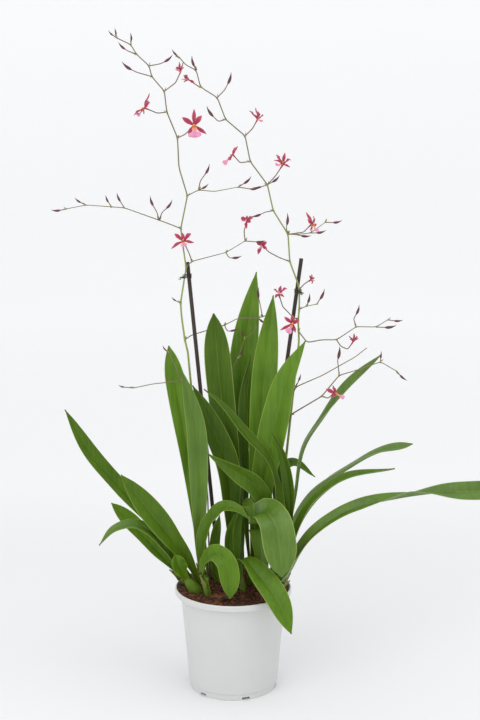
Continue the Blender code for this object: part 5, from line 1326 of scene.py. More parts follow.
def add_bud(shape, twigs, route, length, turn):
    """A thin twig and the pointed bud at its end, whose tip bends a little to one side."""
    route = cm(route)
    length *= CM * BUD_STRETCH
    along = unit(route[-1] - route[-2])
    neck = route[-1] - along * length * 0.5
    twig = rounded_corners(np.vstack([route[:-1], neck[None]]), STEM_BEND / 2)
    count = max(5, int(np.linalg.norm(np.diff(twig, axis=0), axis=1).sum() / STEM_STEP))
    line = evenly(twig, count)
    add_tube(twigs, line, np.linspace(1.0, 0.85, count) * TWIG_RADIUS, TWIG_SIDES, tone=1.0)
    side = UP + 0.3 * np.array((math.cos(turn), math.sin(turn), 0.0))
    side = unit(side - along * along.dot(side))
    shares, wide = np.array(BUD_PROFILE).T
    body = neck + along * (shares * length)[:, None] + side * (BUD_HOOK * length * shares**2.5)[:, None]
    add_tube(shape, body, wide * length * BUD_RADIUS, BUD_SIDES, ridges=0.07)


def spray_joints(plan):
    """Where twigs leave the stems of a spray, with the way that each goes."""
    found = []
    routes = [route for _, _, route in plan["stems"][1:]] + [route for _, route in plan["buds"]]
    for route in routes + [route for _, _, route, _ in plan["blooms"]]:
        found.append((cm(route[0]), unit(cm(route[1]) - cm(route[0]))))
    return found


class ORCHID_OT_sprays(bpy.types.Operator):
    """Make the flower stems with their twigs, scale leaves and closed buds"""

    bl_idname = "orchid.sprays"
    bl_label = "Flower stems and buds"

    def execute(self, context):
        settings = context.scene.orchid_stems
        stem, brown, maroon = stem_finish(settings), scale_finish(settings), bud_finish(settings)
        for name, plan in SPRAYS.items():
            stems, scales, buds = Shape(), Shape(), Shape()
            joints = spray_joints(plan)
            for k, (thick, thin, route) in enumerate(plan["stems"]):
                line = stem_line(route)
                slim = 1 - STEM_SLIMMING * eased(*STEM_SLIMS, line[:, 2])
                radii = np.linspace(thick * CM, thin * CM, len(line)) * slim
                radii *= 1 + NODE_SWELLING * node_swelling(line, [p for p, _ in joints])
                is_green_below = k == 0 and name in TALL_SPRAYS
                tone = 0.95 * eased(*STEM_BROWNS, line[:, 2]) if is_green_below else np.full(len(line), 0.85)
                add_tube(stems, line, radii, STEM_SIDES, tone=tone)
            for place, way in joints:
                main = cm(plan["stems"][0][2])
                near = np.argmin(np.linalg.norm(main - place, axis=1))
                along = unit(main[min(near + 1, len(main) - 1)] - main[max(near - 1, 0)])
                add_scale(scales, place, along + way * 0.25, way, SCALE_LENGTH, SCALE_RADIUS)
            for k, (length, route) in enumerate(plan["buds"]):
                add_bud(buds, stems, route, length, k * BUD_TURN)
            for _, size, route, _ in plan["blooms"]:
                route = cm(route)
                last = unit(route[-1] - route[-2])
                route[-1] -= last * OVARY_LENGTH * size * CM * STALK_SHARE
                line = rounded_corners(route, STEM_BEND / 2)
                count = 4 + int(np.linalg.norm(line[-1] - line[0]) / STEM_STEP)
                add_tube(stems, evenly(line, count), [TWIG_RADIUS] * count, TWIG_SIDES, tone=1.0)
            stems.piece(name + "_stems", stem, "stem", [name])
            scales.piece(name + "_scales", brown, "stem", [name])
            buds.piece(name + "_buds", maroon, "petal", [name], sharp=ROUND_EDGE)
        return {"FINISHED"}


# Open blooms.


def petal_finish(settings):
    """Crimson petal, lighter at its edges and tip, with fine lengthwise streaks."""
    finish = Finish("petal crimson", settings.roughness, sheen=0.15)
    across, along = finish.value("across"), finish.value("along")
    edge = finish.steps(finish.sum("ABSOLUTE", across), (0.45, 0.0), (1.0, 0.85))
    tip = finish.steps(along, (0.5, 0.0), (1.0, 0.5))
    streak = finish.sum("SINE", finish.sum("MULTIPLY", across, 16.0))
    light = finish.sum("ADD", edge, finish.sum("ADD", tip, finish.sum("MULTIPLY", streak, 0.1)))
    finish.colour(finish.mix(light, settings.petal_colour, settings.petal_edge_colour))
    return finish.material


def lip_finish(settings):
    """Pale pink lip whose foot turns orange."""
    finish = Finish("lip pink", settings.roughness, sheen=0.1)
    along, across = finish.value("along"), finish.value("across")
    foot = finish.steps(along, (0.18, 1.0), (0.4, 0.0))
    blotch = finish.steps(finish.speckle(0.0022), (0.5, 0.0), (0.62, 0.3))
    base = finish.mix(blotch, settings.lip_colour, settings.petal_edge_colour)
    centre = finish.steps(finish.sum("ABSOLUTE", across), (0.1, 0.35), (0.5, 0.0))
    base = finish.mix(centre, base, settings.petal_edge_colour)
    finish.colour(finish.mix(foot, base, settings.heart_colour))
    return finish.material


def heart_finish(settings):
    """Orange column that turns crimson towards the stalk."""
    finish = Finish("heart orange", settings.roughness)
    finish.colour(finish.mix(finish.value("tone"), settings.petal_colour, settings.heart_colour))
    return finish.material


def add_petal(shape, settings, heart, facing, kind, tip, width, bow, phase):
    """A petal, sepal or lip from the heart of a bloom to its tip."""
    tip = heart + cm(tip)
    reach = np.linalg.norm(tip - heart)
    start = heart + (tip - heart) * PETAL_FOOT
    middle = (heart + tip) / 2 + facing * bow * CM * 2
    share = np.linspace(0, 1, PETAL_ROWS)
    t = share[:, None]
    places = start * (1 - t) ** 2 + middle * 2 * t * (1 - t) + tip * t**2
    places += facing * (reach * PETAL_CURL * np.sin(t * math.pi * CURL_WAVES + phase)) * t
    ways = tangents(places)
    normals = looks_along([facing, facing], ways)
    widths = profiled(PETAL_PROFILES[kind], share) * width * CM / 2 * PETAL_FULLNESS
    fold = np.full(PETAL_ROWS, math.radians(PETAL_FOLDS[kind]))
    ripple = PETAL_RIPPLE[kind] * widths
    waves = [
        ripple * np.sin(2 * math.pi * (RIPPLE_WAVES * share + phase + side * RIPPLE_OFFSET)) for side in (0, 1)
    ]
    bowing = np.full((PETAL_ROWS, 1), PETAL_BOW)
    add_blade(shape, places, ways, normals, widths, fold, bowing, waves, settings.thickness, PETAL_COLUMNS)


def add_heart(shape, line, facing, size):
    """The ovary that thickens from the stalk, and the column that stands out of the bloom's heart."""
    ovary = np.array([line[0], line[0] * 0.5 + line[1] * 0.5, line[1]])
    add_tube(shape, evenly(ovary, OVARY_ROWS), np.linspace(*OVARY_RADII, OVARY_ROWS) * size * CM, HEART_SIDES)
    shares = np.linspace(0, 1, COLUMN_ROWS)
    length = COLUMN_LENGTH * size * CM
    column = line[1] + facing * (shares * length)[:, None] + UP * (COLUMN_LIFT * length * shares**2)[:, None]
    radii = profiled(COLUMN_PROFILE, shares) * size * CM
    add_tube(shape, column, radii, HEART_SIDES, tone=np.linspace(0.0, 0.85, COLUMN_ROWS))


class ORCHID_OT_blooms(bpy.types.Operator):
    """Make the open blooms: petals, sepals, lip and column"""

    bl_idname = "orchid.blooms"
    bl_label = "Blooms"

    def execute(self, context):
        settings = context.scene.orchid_blooms
        crimson, pink, orange = petal_finish(settings), lip_finish(settings), heart_finish(settings)
        for plan in SPRAYS.values():
            for name, size, route, facing in plan["blooms"]:
                petals, lip, heart = Shape(), Shape(), Shape()
                route, facing = cm(route), unit(facing)
                back = unit(route[-1] - route[-2])
                stalk = route[-1] - back * OVARY_LENGTH * size * CM
                add_heart(heart, [stalk, route[-1]], facing, size)
                for k, (kind, part) in enumerate(zip(PART_KINDS, BLOOM_PARTS[name])):
                    where = lip if kind == "lip" else petals
                    add_petal(where, settings, route[-1], facing, kind, *part, k * PETAL_TURN)
                petals.piece(name + "_petals", crimson, "petal", [name], sharp=PETAL_EDGE)
                lip.piece(name + "_lip", pink, "petal", [name], sharp=PETAL_EDGE)
                heart.piece(name + "_heart", orange, "petal", [name])
        return {"FINISHED"}


# Pseudobulbs.


def bulb_finish(settings):
    """Green pseudobulb, yellower at its top and streaked lengthwise."""
    finish = Finish("bulb green", 0.5)
    finish.shader.inputs["Specular IOR Level"].default_value = LEAF_SPECULAR
    along, across = finish.value("along"), finish.value("across")
    streak = finish.sum("SINE", finish.sum("MULTIPLY", across, 22.0))
    base = finish.mix(finish.sum("MULTIPLY_ADD", streak, 0.15, 0.5), settings.deep_colour,
                      settings.foot_colour)
    finish.colour(finish.mix(finish.steps(along, (0.3, 0.0), (1.0, 0.5)), base, settings.rib_colour))
    return finish.material


class ORCHID_OT_bulbs(bpy.types.Operator):
    """Make the pseudobulbs and the stub of a cut leaf"""

    bl_idname = "orchid.bulbs"
    bl_label = "Pseudobulbs"

    def execute(self, context):
        settings = context.scene.orchid_leaves
        finish = bulb_finish(settings)
        for name, (foot, top, radius) in BULBS.items():
            shape = Shape()
            shares = np.linspace(0, 1, BULB_ROWS)
            line = cm(foot) + (cm(top) - cm(foot)) * shares[:, None]
            radii = profiled(BULB_PROFILE, shares) * radius * CM
            add_tube(shape, line, radii, BULB_SIDES, ridges=0.03)
            shape.piece(name + "_body", finish, "bulb", [name], sharp=ROUND_EDGE)
        stub = Shape()
        add_leaf(stub, settings, STUB_HALF_WIDTH * CM, cm(STUB_ROUTE), STUB_LOOKS, STUB_END, clasping=False)
        green = bpy.data.materials["leaf green bright"]
        stub.piece("pseudobulb_left_leaf", green, "leaf", ["pseudobulb_left"], sharp=BLADE_EDGE)
        return {"FINISHED"}


# Sheaths and roots.


def sheath_finish(settings):
    """Pale green sheath that dries to straw brown at its tip."""
    finish = Finish("sheath green", 0.6)
    along, across = finish.value("along"), finish.value("across")
    streak = finish.sum("SINE", finish.sum("MULTIPLY", across, 30.0))
    base = finish.mix(finish.sum("MULTIPLY_ADD", streak, 0.2, 0.35), settings.bright_colour,
                      settings.rib_colour)
    patch = finish.steps(finish.speckle(0.008), (0.4, 0.0), (0.65, 0.4))
    base = finish.mix(patch, base, DRY_SHEATH)
    finish.colour(finish.mix(finish.steps(along, (0.6, 0.0), (1.0, 0.9)), base, DRY_SHEATH))
    return finish.material


def root_finish():
    """Chalky root with a greener end."""
    finish = Finish("root green", 0.75)
    patch = finish.steps(finish.speckle(0.003), (0.35, 0.0), (0.65, 1.0))
    pale = finish.mix(patch, ROOT_PALE, ROOT_GREEN)
    finish.colour(finish.mix(finish.steps(finish.value("along"), (0.5, 0.0), (1.0, 0.8)), pale, ROOT_GREEN))
    finish.bump(finish.speckle(0.001), 0.3, 0.0002)
    return finish.material


class ORCHID_OT_sheaths(bpy.types.Operator):
    """Make the sheaths round the feet of the leaves, and the roots that creep over the mix"""

    bl_idname = "orchid.sheaths"
    bl_label = "Sheaths and roots"

    def execute(self, context):
        settings = context.scene.orchid_leaves
        rng = random.Random(SHEATH_SEED)
        sheaths = Shape()
        for half_width, (x, y), route, _ in LEAVES.values():
            if half_width < SHEATH_LEAST_LEAF:
                continue
            foot = np.array((x, y, SOIL_EDGE + SOIL_MOUND - SHEATH_SINK))
            lean = unit(np.array(route[0]) - foot)
            outward = unit(np.array((x, y, 0.0)) + (0.0, -0.01, 0.0))
            length = rng.uniform(*SHEATH_LENGTHS)
            start = foot + outward * SHEATH_STAND_OFF
            points = [
                start + lean * length * t + outward * SHEATH_SPREAD * t**2 for t in (0.0, 0.35, 0.7, 1.0)
            ]
            add_leaf(sheaths, settings, SHEATH_HALF_WIDTH * CM, cm(points), [tuple(-outward)] * 2,
                     SHEATH_END, rows=SHEATH_ROWS, phase=rng.random())
        sheaths.piece("leaf_sheaths", sheath_finish(settings), "leaf", sharp=BLADE_EDGE)
        roots = Shape()
        for place, heading, length in ROOTS:
            line = [np.array((*place, 0.0))]
            way = math.radians(heading)
            for _ in range(ROOT_STEPS):
                way += rng.uniform(-ROOT_SWAY, ROOT_SWAY)
                line.append(line[-1] + np.array((math.cos(way), math.sin(way), 0.0)) * length / ROOT_STEPS)
            for point in line:
                radius = min(1.0, math.hypot(point[0], point[1]) / MIX_REACH)
                point[2] = mix_height(radius, math.atan2(point[1], point[0])) + rng.uniform(0.0, ROOT_LIFT)
            line[0][2] += 0.25
            line[-1][2] -= 0.15
            radii = np.linspace(1.0, 0.75, ROOT_ROWS) * ROOT_RADIUS * CM
            add_tube(roots, smooth_route(cm(line), ROOT_ROWS), radii, ROOT_SIDES)
        roots.piece("roots", root_finish(), "bulb")
        return {"FINISHED"}


# Bark mix.


def mix_finish(name, settings, paler_colour, lump):
    """Dark bark with paler, redder patches, which show more where the piece's tone is high."""
    finish = Finish(name, 0.85)
    patch = finish.steps(finish.speckle(lump, 6.0), (0.38, 0.0), (0.62, 1.0))
    share = finish.sum("MULTIPLY", patch, finish.steps(finish.value("tone"), (0.0, 0.15), (1.0, 1.0)))
    finish.colour(finish.mix(share, settings.dark_colour, paler_colour))
    finish.bump(finish.speckle(lump * 0.4, 6.0), 0.8, 0.0008)
    return finish.material


def mix_height(radius, angle):
    """Height of the mix in cm: a low mound with lumps, heaped against the wall opposite HEAP_ANGLE."""
    inward = 1 - radius**2
    lumps = math.sin(3 * angle + 9 * radius) + math.sin(7 * angle - 5 * radius + 1)
    heaped = MIX_HEAP * (0.5 - 0.5 * math.cos(angle - HEAP_ANGLE)) * radius
    return SOIL_EDGE + SOIL_MOUND * inward + heaped + SOIL_ROUGHNESS * lumps * min(1.0, 2 * inward)


def add_chip(shape, rng, place, size, spin, tilt):
    """A broken flake of bark: an uneven seven-sided slab."""
    points = []
    for height, shrink in CHIP_LAYERS:
        for k in range(CHIP_SIDES):
            turn = 2 * math.pi * k / CHIP_SIDES
            wide = shrink * (CHIP_LEAST_WIDTH + CHIP_BREAKAGE * rng.random())
            points.append((
                math.cos(turn) * wide * size[0] / 2, math.sin(turn) * wide * size[1] / 2,
                (height + 0.25 * (rng.random() - 0.5)) * size[2],
            ))
    turned = Matrix.Rotation(spin, 3, "Z") @ Matrix.Rotation(tilt[0], 3, "X")
    turned = turned @ Matrix.Rotation(tilt[1], 3, "Y")
    points = np.array(points) @ np.array(turned).T + place
    shape.add(points, ring_faces(len(CHIP_LAYERS), CHIP_SIDES), tone=rng.random())


def add_fibre(shape, rng, start, heading, length, lift, radius, limit):
    """A thin curved strand of coconut fibre that stays within the limit from the pot's axis."""
    line, place, way = [start], np.array(start), heading
    bend = rng.uniform(-0.5, 0.5)
    for i in range(FIBRE_STEPS):
        way += bend * 0.35 + rng.uniform(-0.25, 0.25)
        rise = lift * (1 - 2 * i / (FIBRE_STEPS - 1)) + rng.uniform(-0.15, 0.15)
        place = place + np.array((math.cos(way), math.sin(way), rise)) * length / FIBRE_STEPS
        reach = math.hypot(place[0], place[1])
        place[:2] *= min(1.0, limit / reach)
        if reach > INSIDE_RIM * CM:
            place[2] = max(place[2], RIM_TOP * CM + radius)
        line.append(place)
    radii = np.linspace(1.0, 0.5, FIBRE_ROWS) * radius
    add_tube(shape, smooth_route(line, FIBRE_ROWS), radii, FIBRE_SIDES, tone=rng.random())


class ORCHID_OT_mix(bpy.types.Operator):
    """Make the bark mix with its chips and fibres"""

    bl_idname = "orchid.mix"
    bl_label = "Bark mix"

    def execute(self, context):
        settings = context.scene.orchid_mix
        rng = random.Random(settings.seed)
        self.make_ground(settings)
        self.make_chips(settings, rng)
        self.make_fibres(settings, rng)
        return {"FINISHED"}

    def make_ground(self, settings):
        """The rough top of the mix, and its side and underside inside the pot."""
        turns = [2 * math.pi * k / MIX_SIDES for k in range(MIX_SIDES)]
        points = []
        for share in [(i + 1) / MIX_RINGS for i in range(MIX_RINGS)]:
            for turn in turns:
                reach = share * MIX_REACH
                spot = Vector((reach * math.cos(turn), reach * math.sin(turn), 0.0))
                grain = noise.fractal(spot * GRAIN_SCALE, 0.8, 2.2, 4) * GRAIN_HEIGHT
                rough = grain * min(1.0, 6 * (1 - share) + 0.3)
                points.append((spot.x, spot.y, mix_height(share, turn) + rough))
        points += [
            (radius * math.cos(turn), radius * math.sin(turn), height)
            for radius, height in MIX_WALL
            for turn in turns
        ]
        rows = MIX_RINGS + len(MIX_WALL)
        faces = ring_faces(rows, MIX_SIDES)[:-2]
        points.append((0.0, 0.0, mix_height(0, 0)))
        faces += [(k, (k + 1) % MIX_SIDES, len(points) - 1)[::-1] for k in range(MIX_SIDES)]
        faces.append(tuple(range((rows - 1) * MIX_SIDES, rows * MIX_SIDES)))
        ground = Shape()
        # The ground's low tone leaves it darker than most of the chips lying on it.
        ground.add(cm(points), [face[::-1] for face in faces], tone=0.35)
        finish = mix_finish("bark mix", settings, settings.light_colour, 0.005)
        ground.piece("mix_ground", finish, "bark", ["bark_mix"])

    def make_chips(self, settings, rng):
        """Loose chips of bark all over the mix."""
        chips = Shape()
        for _ in range(settings.chips):
            radius, angle = math.sqrt(rng.random()) * 0.95, rng.uniform(0, 2 * math.pi)
            long = rng.uniform(*CHIP_LENGTHS) * CM
            size = (long, long * rng.uniform(*CHIP_BREADTHS), rng.uniform(*CHIP_DEPTHS) * CM)
            top = mix_height(radius, angle) + rng.uniform(*CHIP_HEIGHTS)
            place = turned_place(radius * (MIX_REACH - CHIP_MARGIN), angle, top)
            tilt = (rng.uniform(*CHIP_TILTS), rng.uniform(*CHIP_TILTS))
            add_chip(chips, rng, place, size, rng.uniform(0, 2 * math.pi), tilt)
        finish = mix_finish("bark chip", settings, settings.light_colour, 0.004)
        chips.piece("bark_chips", finish, "bark", ["bark_mix"], sharp=CHIP_EDGE)

    def make_fibres(self, settings, rng):
        """Coconut fibres all over the mix, and more of them along the rim at the left."""
        fibres = Shape()
        for _ in range(settings.fibres):
            radius, angle = math.sqrt(rng.random()) * 0.97, rng.uniform(0, 2 * math.pi)
            top = mix_height(radius, angle) + rng.uniform(*FIBRE_HEIGHTS)
            start = turned_place(radius * (MIX_REACH - FIBRE_MARGIN), angle, top)
            heading = rng.uniform(*FIBRE_HEADINGS)
            length, rise = rng.uniform(*FIBRE_LENGTHS) * CM, rng.uniform(*FIBRE_RISES)
            radius = rng.uniform(*FIBRE_RADII) * CM
            add_fibre(fibres, rng, start, heading, length, rise, radius, INSIDE_RIM * CM)
        for _ in range(RIM_FIBRES):
            angle = math.radians(rng.uniform(*RIM_FIBRE_PLACES))
            reach = RIM_RADIUS - rng.uniform(*RIM_FIBRE_INSETS)
            start = turned_place(reach, angle, SOIL_EDGE + RIM_FIBRE_HEIGHT)
            heading = angle + rng.uniform(*RIM_FIBRE_TURNS)
            length, rise = rng.uniform(*RIM_FIBRE_LENGTHS) * CM, rng.uniform(*RIM_FIBRE_RISES)
            radius = rng.uniform(*RIM_FIBRE_RADII) * CM
            add_fibre(fibres, rng, start, heading, length, rise, radius, RIM_RADIUS * CM)
        fibres.piece("coir_fibres", mix_finish("coir fibre", settings, settings.fibre_colour, 0.006), "bark")


# Pot.


def pot_finish(settings):
    """Pale grey injection-moulded plastic with a faint grain."""
    finish = Finish("pot grey", settings.pot_roughness)
    grey = np.array(settings.pot_colour)
    cloud = finish.steps(finish.speckle(0.02, 3.0), (0.3, 0.0), (0.7, 1.0))
    finish.colour(finish.mix(cloud, grey * 0.985, grey))
    finish.bump(finish.speckle(0.0006, 2.0), 0.06, 0.0001)
    return finish.material


def filleted(profile, radius):
    """A profile of radius and height with each of its corners rounded."""
    profile = [np.array(p, float) for p in profile]
    line = [tuple(profile[0])]
    for before, corner, after in zip(profile, profile[1:], profile[2:]):
        reach = min(radius, np.linalg.norm(corner - before) * 0.45, np.linalg.norm(after - corner) * 0.45)
        start, end = corner + unit(before - corner) * reach, corner + unit(after - corner) * reach
        for t in np.linspace(0, 1, FILLET_STEPS):
            line.append(tuple(start * (1 - t) ** 2 + corner * 2 * t * (1 - t) + end * t**2))
    line.append(tuple(profile[-1]))
    return line


def pot_profile():
    """Down the outside from the middle of the floor's underside, and up over the rim to the floor's top."""
    under_rim = RIM_TOP - RIM_HEIGHT
    return [
        (0, 0), (PAD_RADIUS, 0), (PAD_RADIUS + 0.15, FLOOR_UNDERSIDE),
        (FOOT_RADIUS - 0.45, FLOOR_UNDERSIDE), (FOOT_RADIUS - 0.3, 0), (FOOT_RADIUS, 0),
        (FOOT_RADIUS, FOOT_HEIGHT - 0.05), (BODY_FOOT_RADIUS, FOOT_HEIGHT),
        (BODY_TOP_RADIUS, under_rim - 0.05), (RIM_RADIUS - 0.06, under_rim),
        (RIM_RADIUS, under_rim + 0.06), (RIM_RADIUS, RIM_TOP - 0.1), (RIM_RADIUS - 0.1, RIM_TOP),
        (RIM_RADIUS - WALL - 0.05, RIM_TOP - 0.04), (RIM_RADIUS - WALL - 0.1, SHELF),
        (BODY_TOP_RADIUS - WALL, SHELF - 0.1), (BODY_FOOT_RADIUS - WALL - 0.05, FLOOR_TOP + CHAMFER),
        (BODY_FOOT_RADIUS - WALL - CHAMFER - 0.05, FLOOR_TOP), (0, FLOOR_TOP),
    ]


def raw_object(name, points, faces):
    """A linked object with a mesh of these points and faces."""
    mesh = bpy.data.meshes.new(name)
    mesh.from_pydata([tuple(p) for p in points], [], faces)
    made = bpy.data.objects.new(name, mesh)
    bpy.context.scene.collection.objects.link(made)
    return made


def cut_away(made, cutters):
    """The object's mesh after the cutters are taken from it."""
    for cutter in cutters:
        boolean = made.modifiers.new("cut", "BOOLEAN")
        boolean.operation, boolean.object, boolean.solver = "DIFFERENCE", cutter, "EXACT"
    graph = bpy.context.evaluated_depsgraph_get()
    result = bpy.data.meshes.new_from_object(made.evaluated_get(graph))
    made.modifiers.clear()
    made.data = result
    for cutter in cutters:
        bpy.data.objects.remove(cutter, do_unlink=True)


class ORCHID_OT_pot(bpy.types.Operator):
    """Make the nursery pot"""

    bl_idname = "orchid.pot"
    bl_label = "Pot"

    def execute(self, context):
        settings = context.scene.orchid_pot
        profile = filleted(pot_profile(), settings.rim_edge / CM)
        points, faces = lathe_points([(r * CM, z * CM) for r, z in profile], POT_SIDES)
        pot = raw_object("pot_body", points, faces)
        cut_away(pot, [self.make_notch(k) for k in range(NOTCH_COUNT)])
        pot.data.materials.clear()
        pot.data.materials.append(pot_finish(settings))
        pot.data.shade_smooth()
        pot.data.set_sharp_from_angle(angle=math.radians(POT_EDGE))
        attached(pot, ["pot"])
        return {"FINISHED"}

    def make_notch(self, k):
        """The block that cuts one notch out of the foot ring."""
        turn = Matrix.Rotation(FIRST_NOTCH_ANGLE + 2 * math.pi * k / NOTCH_COUNT, 4, "Z")
        corners = [
            turn @ Vector((FOOT_RADIUS + x * NOTCH_CUT / 2, y * NOTCH_WIDTH / 2, z * NOTCH_HEIGHT)) * CM
            for z in (-1, 1)
            for x, y in ((-1, -1), (1, -1), (1, 1), (-1, 1))
        ]
        return raw_object("notch", corners, ring_faces(2, 4))


# Stakes and ties.


def stake_finish(settings, name, roughness):
    """Dark brown plastic, a little uneven."""
    finish = Finish(name, roughness)
    dark = np.array(settings.stake_colour)
    streak = finish.steps(finish.speckle(0.004, 4.0, (1.0, 1.0, 0.12)), (0.3, 0.0), (0.7, 1.0))
    finish.colour(finish.mix(streak, dark, dark * 2.2))
    finish.bump(finish.speckle(0.0015, 2.0, (1.0, 1.0, 0.15)), 0.2, 0.0002)
    return finish.material


def stake_ends(name):
    """The two ends of a stake in metres, the lower one sunk to its foot in the mix."""
    low, high = cm(STAKES[name][0]), cm(STAKES[name][1])
    along = unit(high - low)
    return low - along * (low[2] - STAKE_FOOT * CM) / along[2], high


class ORCHID_OT_stakes(bpy.types.Operator):
    """Make the two stakes and the ties that hold the stems to them"""

    bl_idname = "orchid.stakes"
    bl_label = "Stakes and ties"

    def execute(self, context):
        settings = context.scene.orchid_pot
        finish = stake_finish(settings, "stake brown", 0.5)
        wire = stake_finish(settings, "tie brown", 0.6)
        for name in STAKES:
            low, high = stake_ends(name)
            shape = Shape()
            shares = np.concatenate([np.linspace(0, 0.995, STAKE_ROWS), (0.998, 1.0)])
            radii = np.full(len(shares), settings.stake_radius)
            radii[-1] *= 0.93
            add_tube(shape, low + (high - low) * shares[:, None], radii, STAKE_SIDES)
            shape.piece(name + "_rod", finish, "stake", [name])
        for name, (stake, height, spray) in TIES.items():
            self.make_tie(name, stake, height, spray, wire)
        return {"FINISHED"}

    def make_tie(self, name, stake, height, spray, wire):
        """Several turns of wire round a stake and a stem, with a twisted end."""
        low, high = stake_ends(stake)
        at_stake = low + (high - low) * (height * CM - low[2]) / (high[2] - low[2])
        thick, _, route = SPRAYS[spray]["stems"][0]
        route = cm(route)
        k = next(i for i in range(len(route) - 1) if route[i][2] <= height * CM <= route[i + 1][2])
        share = (height * CM - route[k][2]) / (route[k + 1][2] - route[k][2])
        at_stem = route[k] + (route[k + 1] - route[k]) * share
        shape = Shape()
        loop = []
        steps = TIE_TURNS * TIE_TURN_STEPS
        for i in range(steps + 1):
            turn = 2 * math.pi * i / TIE_TURN_STEPS
            way = np.array((math.cos(turn), math.sin(turn), 0.0))
            rise = UP * (i / steps - 0.5) * TIE_HEIGHT * CM
            around_stake = at_stake + way * (STAKE_RADIUS + TIE_WIRE_RADIUS + TIE_CLEARANCE) * CM
            around_stem = at_stem + way * (thick + TIE_WIRE_RADIUS) * CM
            loop.append(max((around_stake, around_stem), key=way.dot) + rise)
        add_tube(shape, np.array(loop), [TIE_WIRE_RADIUS * CM * LOOP_WIRE] * len(loop), LOOP_SIDES)
        out = unit((at_stem - at_stake) * (1, 1, 0))
        start = at_stem + out * (thick + TIE_WIRE_RADIUS) * CM
        for strand in (0, math.pi):
            twist = []
            for i in range(TAIL_STEPS):
                t = i / (TAIL_STEPS - 1)
                turn = strand + t * TAIL_TWIST
                round_way = np.cross(out, UP) * math.cos(turn) + UP * math.sin(turn)
                splay = TAIL_SPLAY + TAIL_OPENING * max(0.0, t - TAIL_OPENS) / (1 - TAIL_OPENS)
                drop = UP * TAIL_DROP * t * t
                twist.append(start + (out * t * TAIL_REACH + drop + round_way * splay) * CM)
            add_tube(shape, np.array(twist), [TIE_WIRE_RADIUS * CM * TAIL_WIRE] * TAIL_STEPS, TAIL_SIDES)
        shape.piece(name + "_wire", wire, "tie", [name])


# Floor, lights and camera.


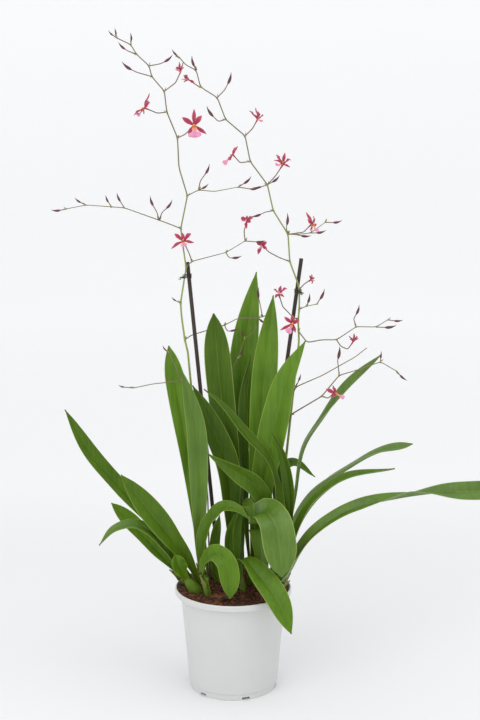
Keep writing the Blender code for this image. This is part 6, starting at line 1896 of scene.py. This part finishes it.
class ORCHID_OT_stage(bpy.types.Operator):
    """Make the pale floor, the soft lights and the camera"""

    bl_idname = "orchid.stage"
    bl_label = "Floor, lights and camera"

    def execute(self, context):
        settings = context.scene.orchid_stage
        self.make_floor(settings)
        self.make_light("key light", *KEY_LIGHT, settings.key_power)
        self.make_light("fill light", *FILL_LIGHT, settings.fill_power)
        self.make_room(context, settings)
        self.make_camera(context, settings)
        return {"FINISHED"}

    def make_room(self, context, settings):
        """A white room that the camera sees brighter than it lights the orchid."""
        world = bpy.data.worlds.new("white room")
        world.use_nodes = True
        nodes, links = world.node_tree.nodes, world.node_tree.links
        nodes["Background"].inputs["Color"].default_value = ROOM_TINT
        seen = nodes.new("ShaderNodeMapRange")
        seen.inputs["To Min"].default_value = settings.sky
        seen.inputs["To Max"].default_value = ROOM_WHITE
        links.new(nodes.new("ShaderNodeLightPath").outputs["Is Camera Ray"], seen.inputs["Value"])
        links.new(seen.outputs["Result"], nodes["Background"].inputs["Strength"])
        context.scene.world = world
        context.scene.view_settings.view_transform = "Standard"

    def make_camera(self, context, settings):
        """The camera in front of the pot, looking a little down."""
        camera = bpy.data.cameras.new("camera")
        camera.lens, camera.sensor_width, camera.sensor_fit = settings.lens, SENSOR_MM, "AUTO"
        view = bpy.data.objects.new("camera", camera)
        view.location = (CAMERA_X, -settings.camera_distance, settings.camera_height)
        view.rotation_euler = (math.pi / 2 - settings.camera_tilt, 0.0, 0.0)
        context.scene.collection.objects.link(view)
        context.scene.camera = view

    def make_floor(self, settings):
        """A wide level floor that turns up into a far backdrop, with painted light: its colour lightens
        towards the back, and it glows more the farther it lies from the pot.
        """
        bend = BACKDROP_BEND
        line = [(-FLOOR_REACH, 0.0), (BACKDROP_PLACE, 0.0)]
        line += [
            (BACKDROP_PLACE + bend * math.sin(t), bend * (1 - math.cos(t)))
            for t in np.linspace(0, math.pi / 2, BACKDROP_STEPS)
        ]
        line.append((BACKDROP_PLACE + bend, BACKDROP_HEIGHT))
        points = [(x, y, z) for y, z in line for x in (-FLOOR_REACH, FLOOR_REACH)]
        faces = [(2 * i, 2 * i + 1, 2 * i + 3, 2 * i + 2) for i in range(len(line) - 1)]
        floor = raw_object("studio_floor", points, faces)
        finish = Finish("studio paper with painted light", 0.8)
        place = finish.node("ShaderNodeTexCoord").outputs["Object"]
        split = finish.node("ShaderNodeSeparateXYZ")
        finish.plug(place, split.inputs["Vector"])
        # Painted light: the floor's colour lightens towards the back.
        painted_light_fade = finish.node("ShaderNodeMapRange", interpolation_type="SMOOTHSTEP")
        finish.plug(split.outputs["Y"], painted_light_fade.inputs["Value"])
        finish.plug(PAINTED_LIGHT_FADE_START, painted_light_fade.inputs["From Min"])
        finish.plug(PAINTED_LIGHT_FADE_END, painted_light_fade.inputs["From Max"])
        finish.colour(finish.mix(painted_light_fade.outputs["Result"], settings.floor_colour, settings.backdrop_colour))
        # Painted light: the floor and backdrop glow white, more the farther they lie from the pot.
        away = finish.node("ShaderNodeVectorMath", operation="LENGTH")
        finish.plug(place, away.inputs["Vector"])
        share = finish.sum("DIVIDE", away.outputs["Value"], PAINTED_GLOW_REACH)
        finish.shader.inputs["Emission Color"].default_value = (1.0, 1.0, 1.0, 1.0)
        finish.plug(finish.steps(share, *PAINTED_GLOW_STOPS), finish.shader.inputs["Emission Strength"])
        floor.data.materials.append(finish.material)
        floor.data.shade_smooth()

    def make_light(self, name, place, size, power):
        lamp = bpy.data.lights.new(name, "AREA")
        lamp.shape, lamp.size, lamp.energy = "SQUARE", size, power
        light = bpy.data.objects.new(name, lamp)
        light.location = place
        aim = Vector(LIGHT_AIM) - Vector(place)
        light.rotation_euler = aim.to_track_quat("-Z", "Y").to_euler()
        bpy.context.scene.collection.objects.link(light)


class ORCHID_PT_panel(bpy.types.Panel):
    """Lists the pieces of the orchid in the order that they are made"""

    bl_idname = "ORCHID_PT_panel"
    bl_label = "Orchid"
    bl_space_type = "VIEW_3D"
    bl_region_type = "UI"
    bl_category = "Orchid"

    def draw(self, context):
        for maker in OPERATORS:
            self.layout.operator(maker.bl_idname)


OPERATORS = (
    ORCHID_OT_leaves, ORCHID_OT_sprays, ORCHID_OT_blooms, ORCHID_OT_bulbs, ORCHID_OT_sheaths, ORCHID_OT_mix,
    ORCHID_OT_pot, ORCHID_OT_stakes, ORCHID_OT_stage,
)
SETTINGS = {
    "orchid_leaves": LeafSettings, "orchid_stems": StemSettings, "orchid_blooms": BloomSettings,
    "orchid_pot": PotSettings, "orchid_mix": MixSettings, "orchid_stage": StageSettings,
}


def register():
    for made in (*SETTINGS.values(), *OPERATORS, ORCHID_PT_panel):
        bpy.utils.register_class(made)
    for name, group in SETTINGS.items():
        setattr(bpy.types.Scene, name, bpy.props.PointerProperty(type=group))


def unregister():
    for name in SETTINGS:
        delattr(bpy.types.Scene, name)
    for made in reversed((*SETTINGS.values(), *OPERATORS, ORCHID_PT_panel)):
        bpy.utils.unregister_class(made)


def main():
    register()
    for step in ("leaves", "sprays", "blooms", "bulbs", "sheaths", "mix", "pot", "stakes", "stage"):
        getattr(bpy.ops.orchid, step)()
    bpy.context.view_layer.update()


if __name__ == "__main__":
    main()
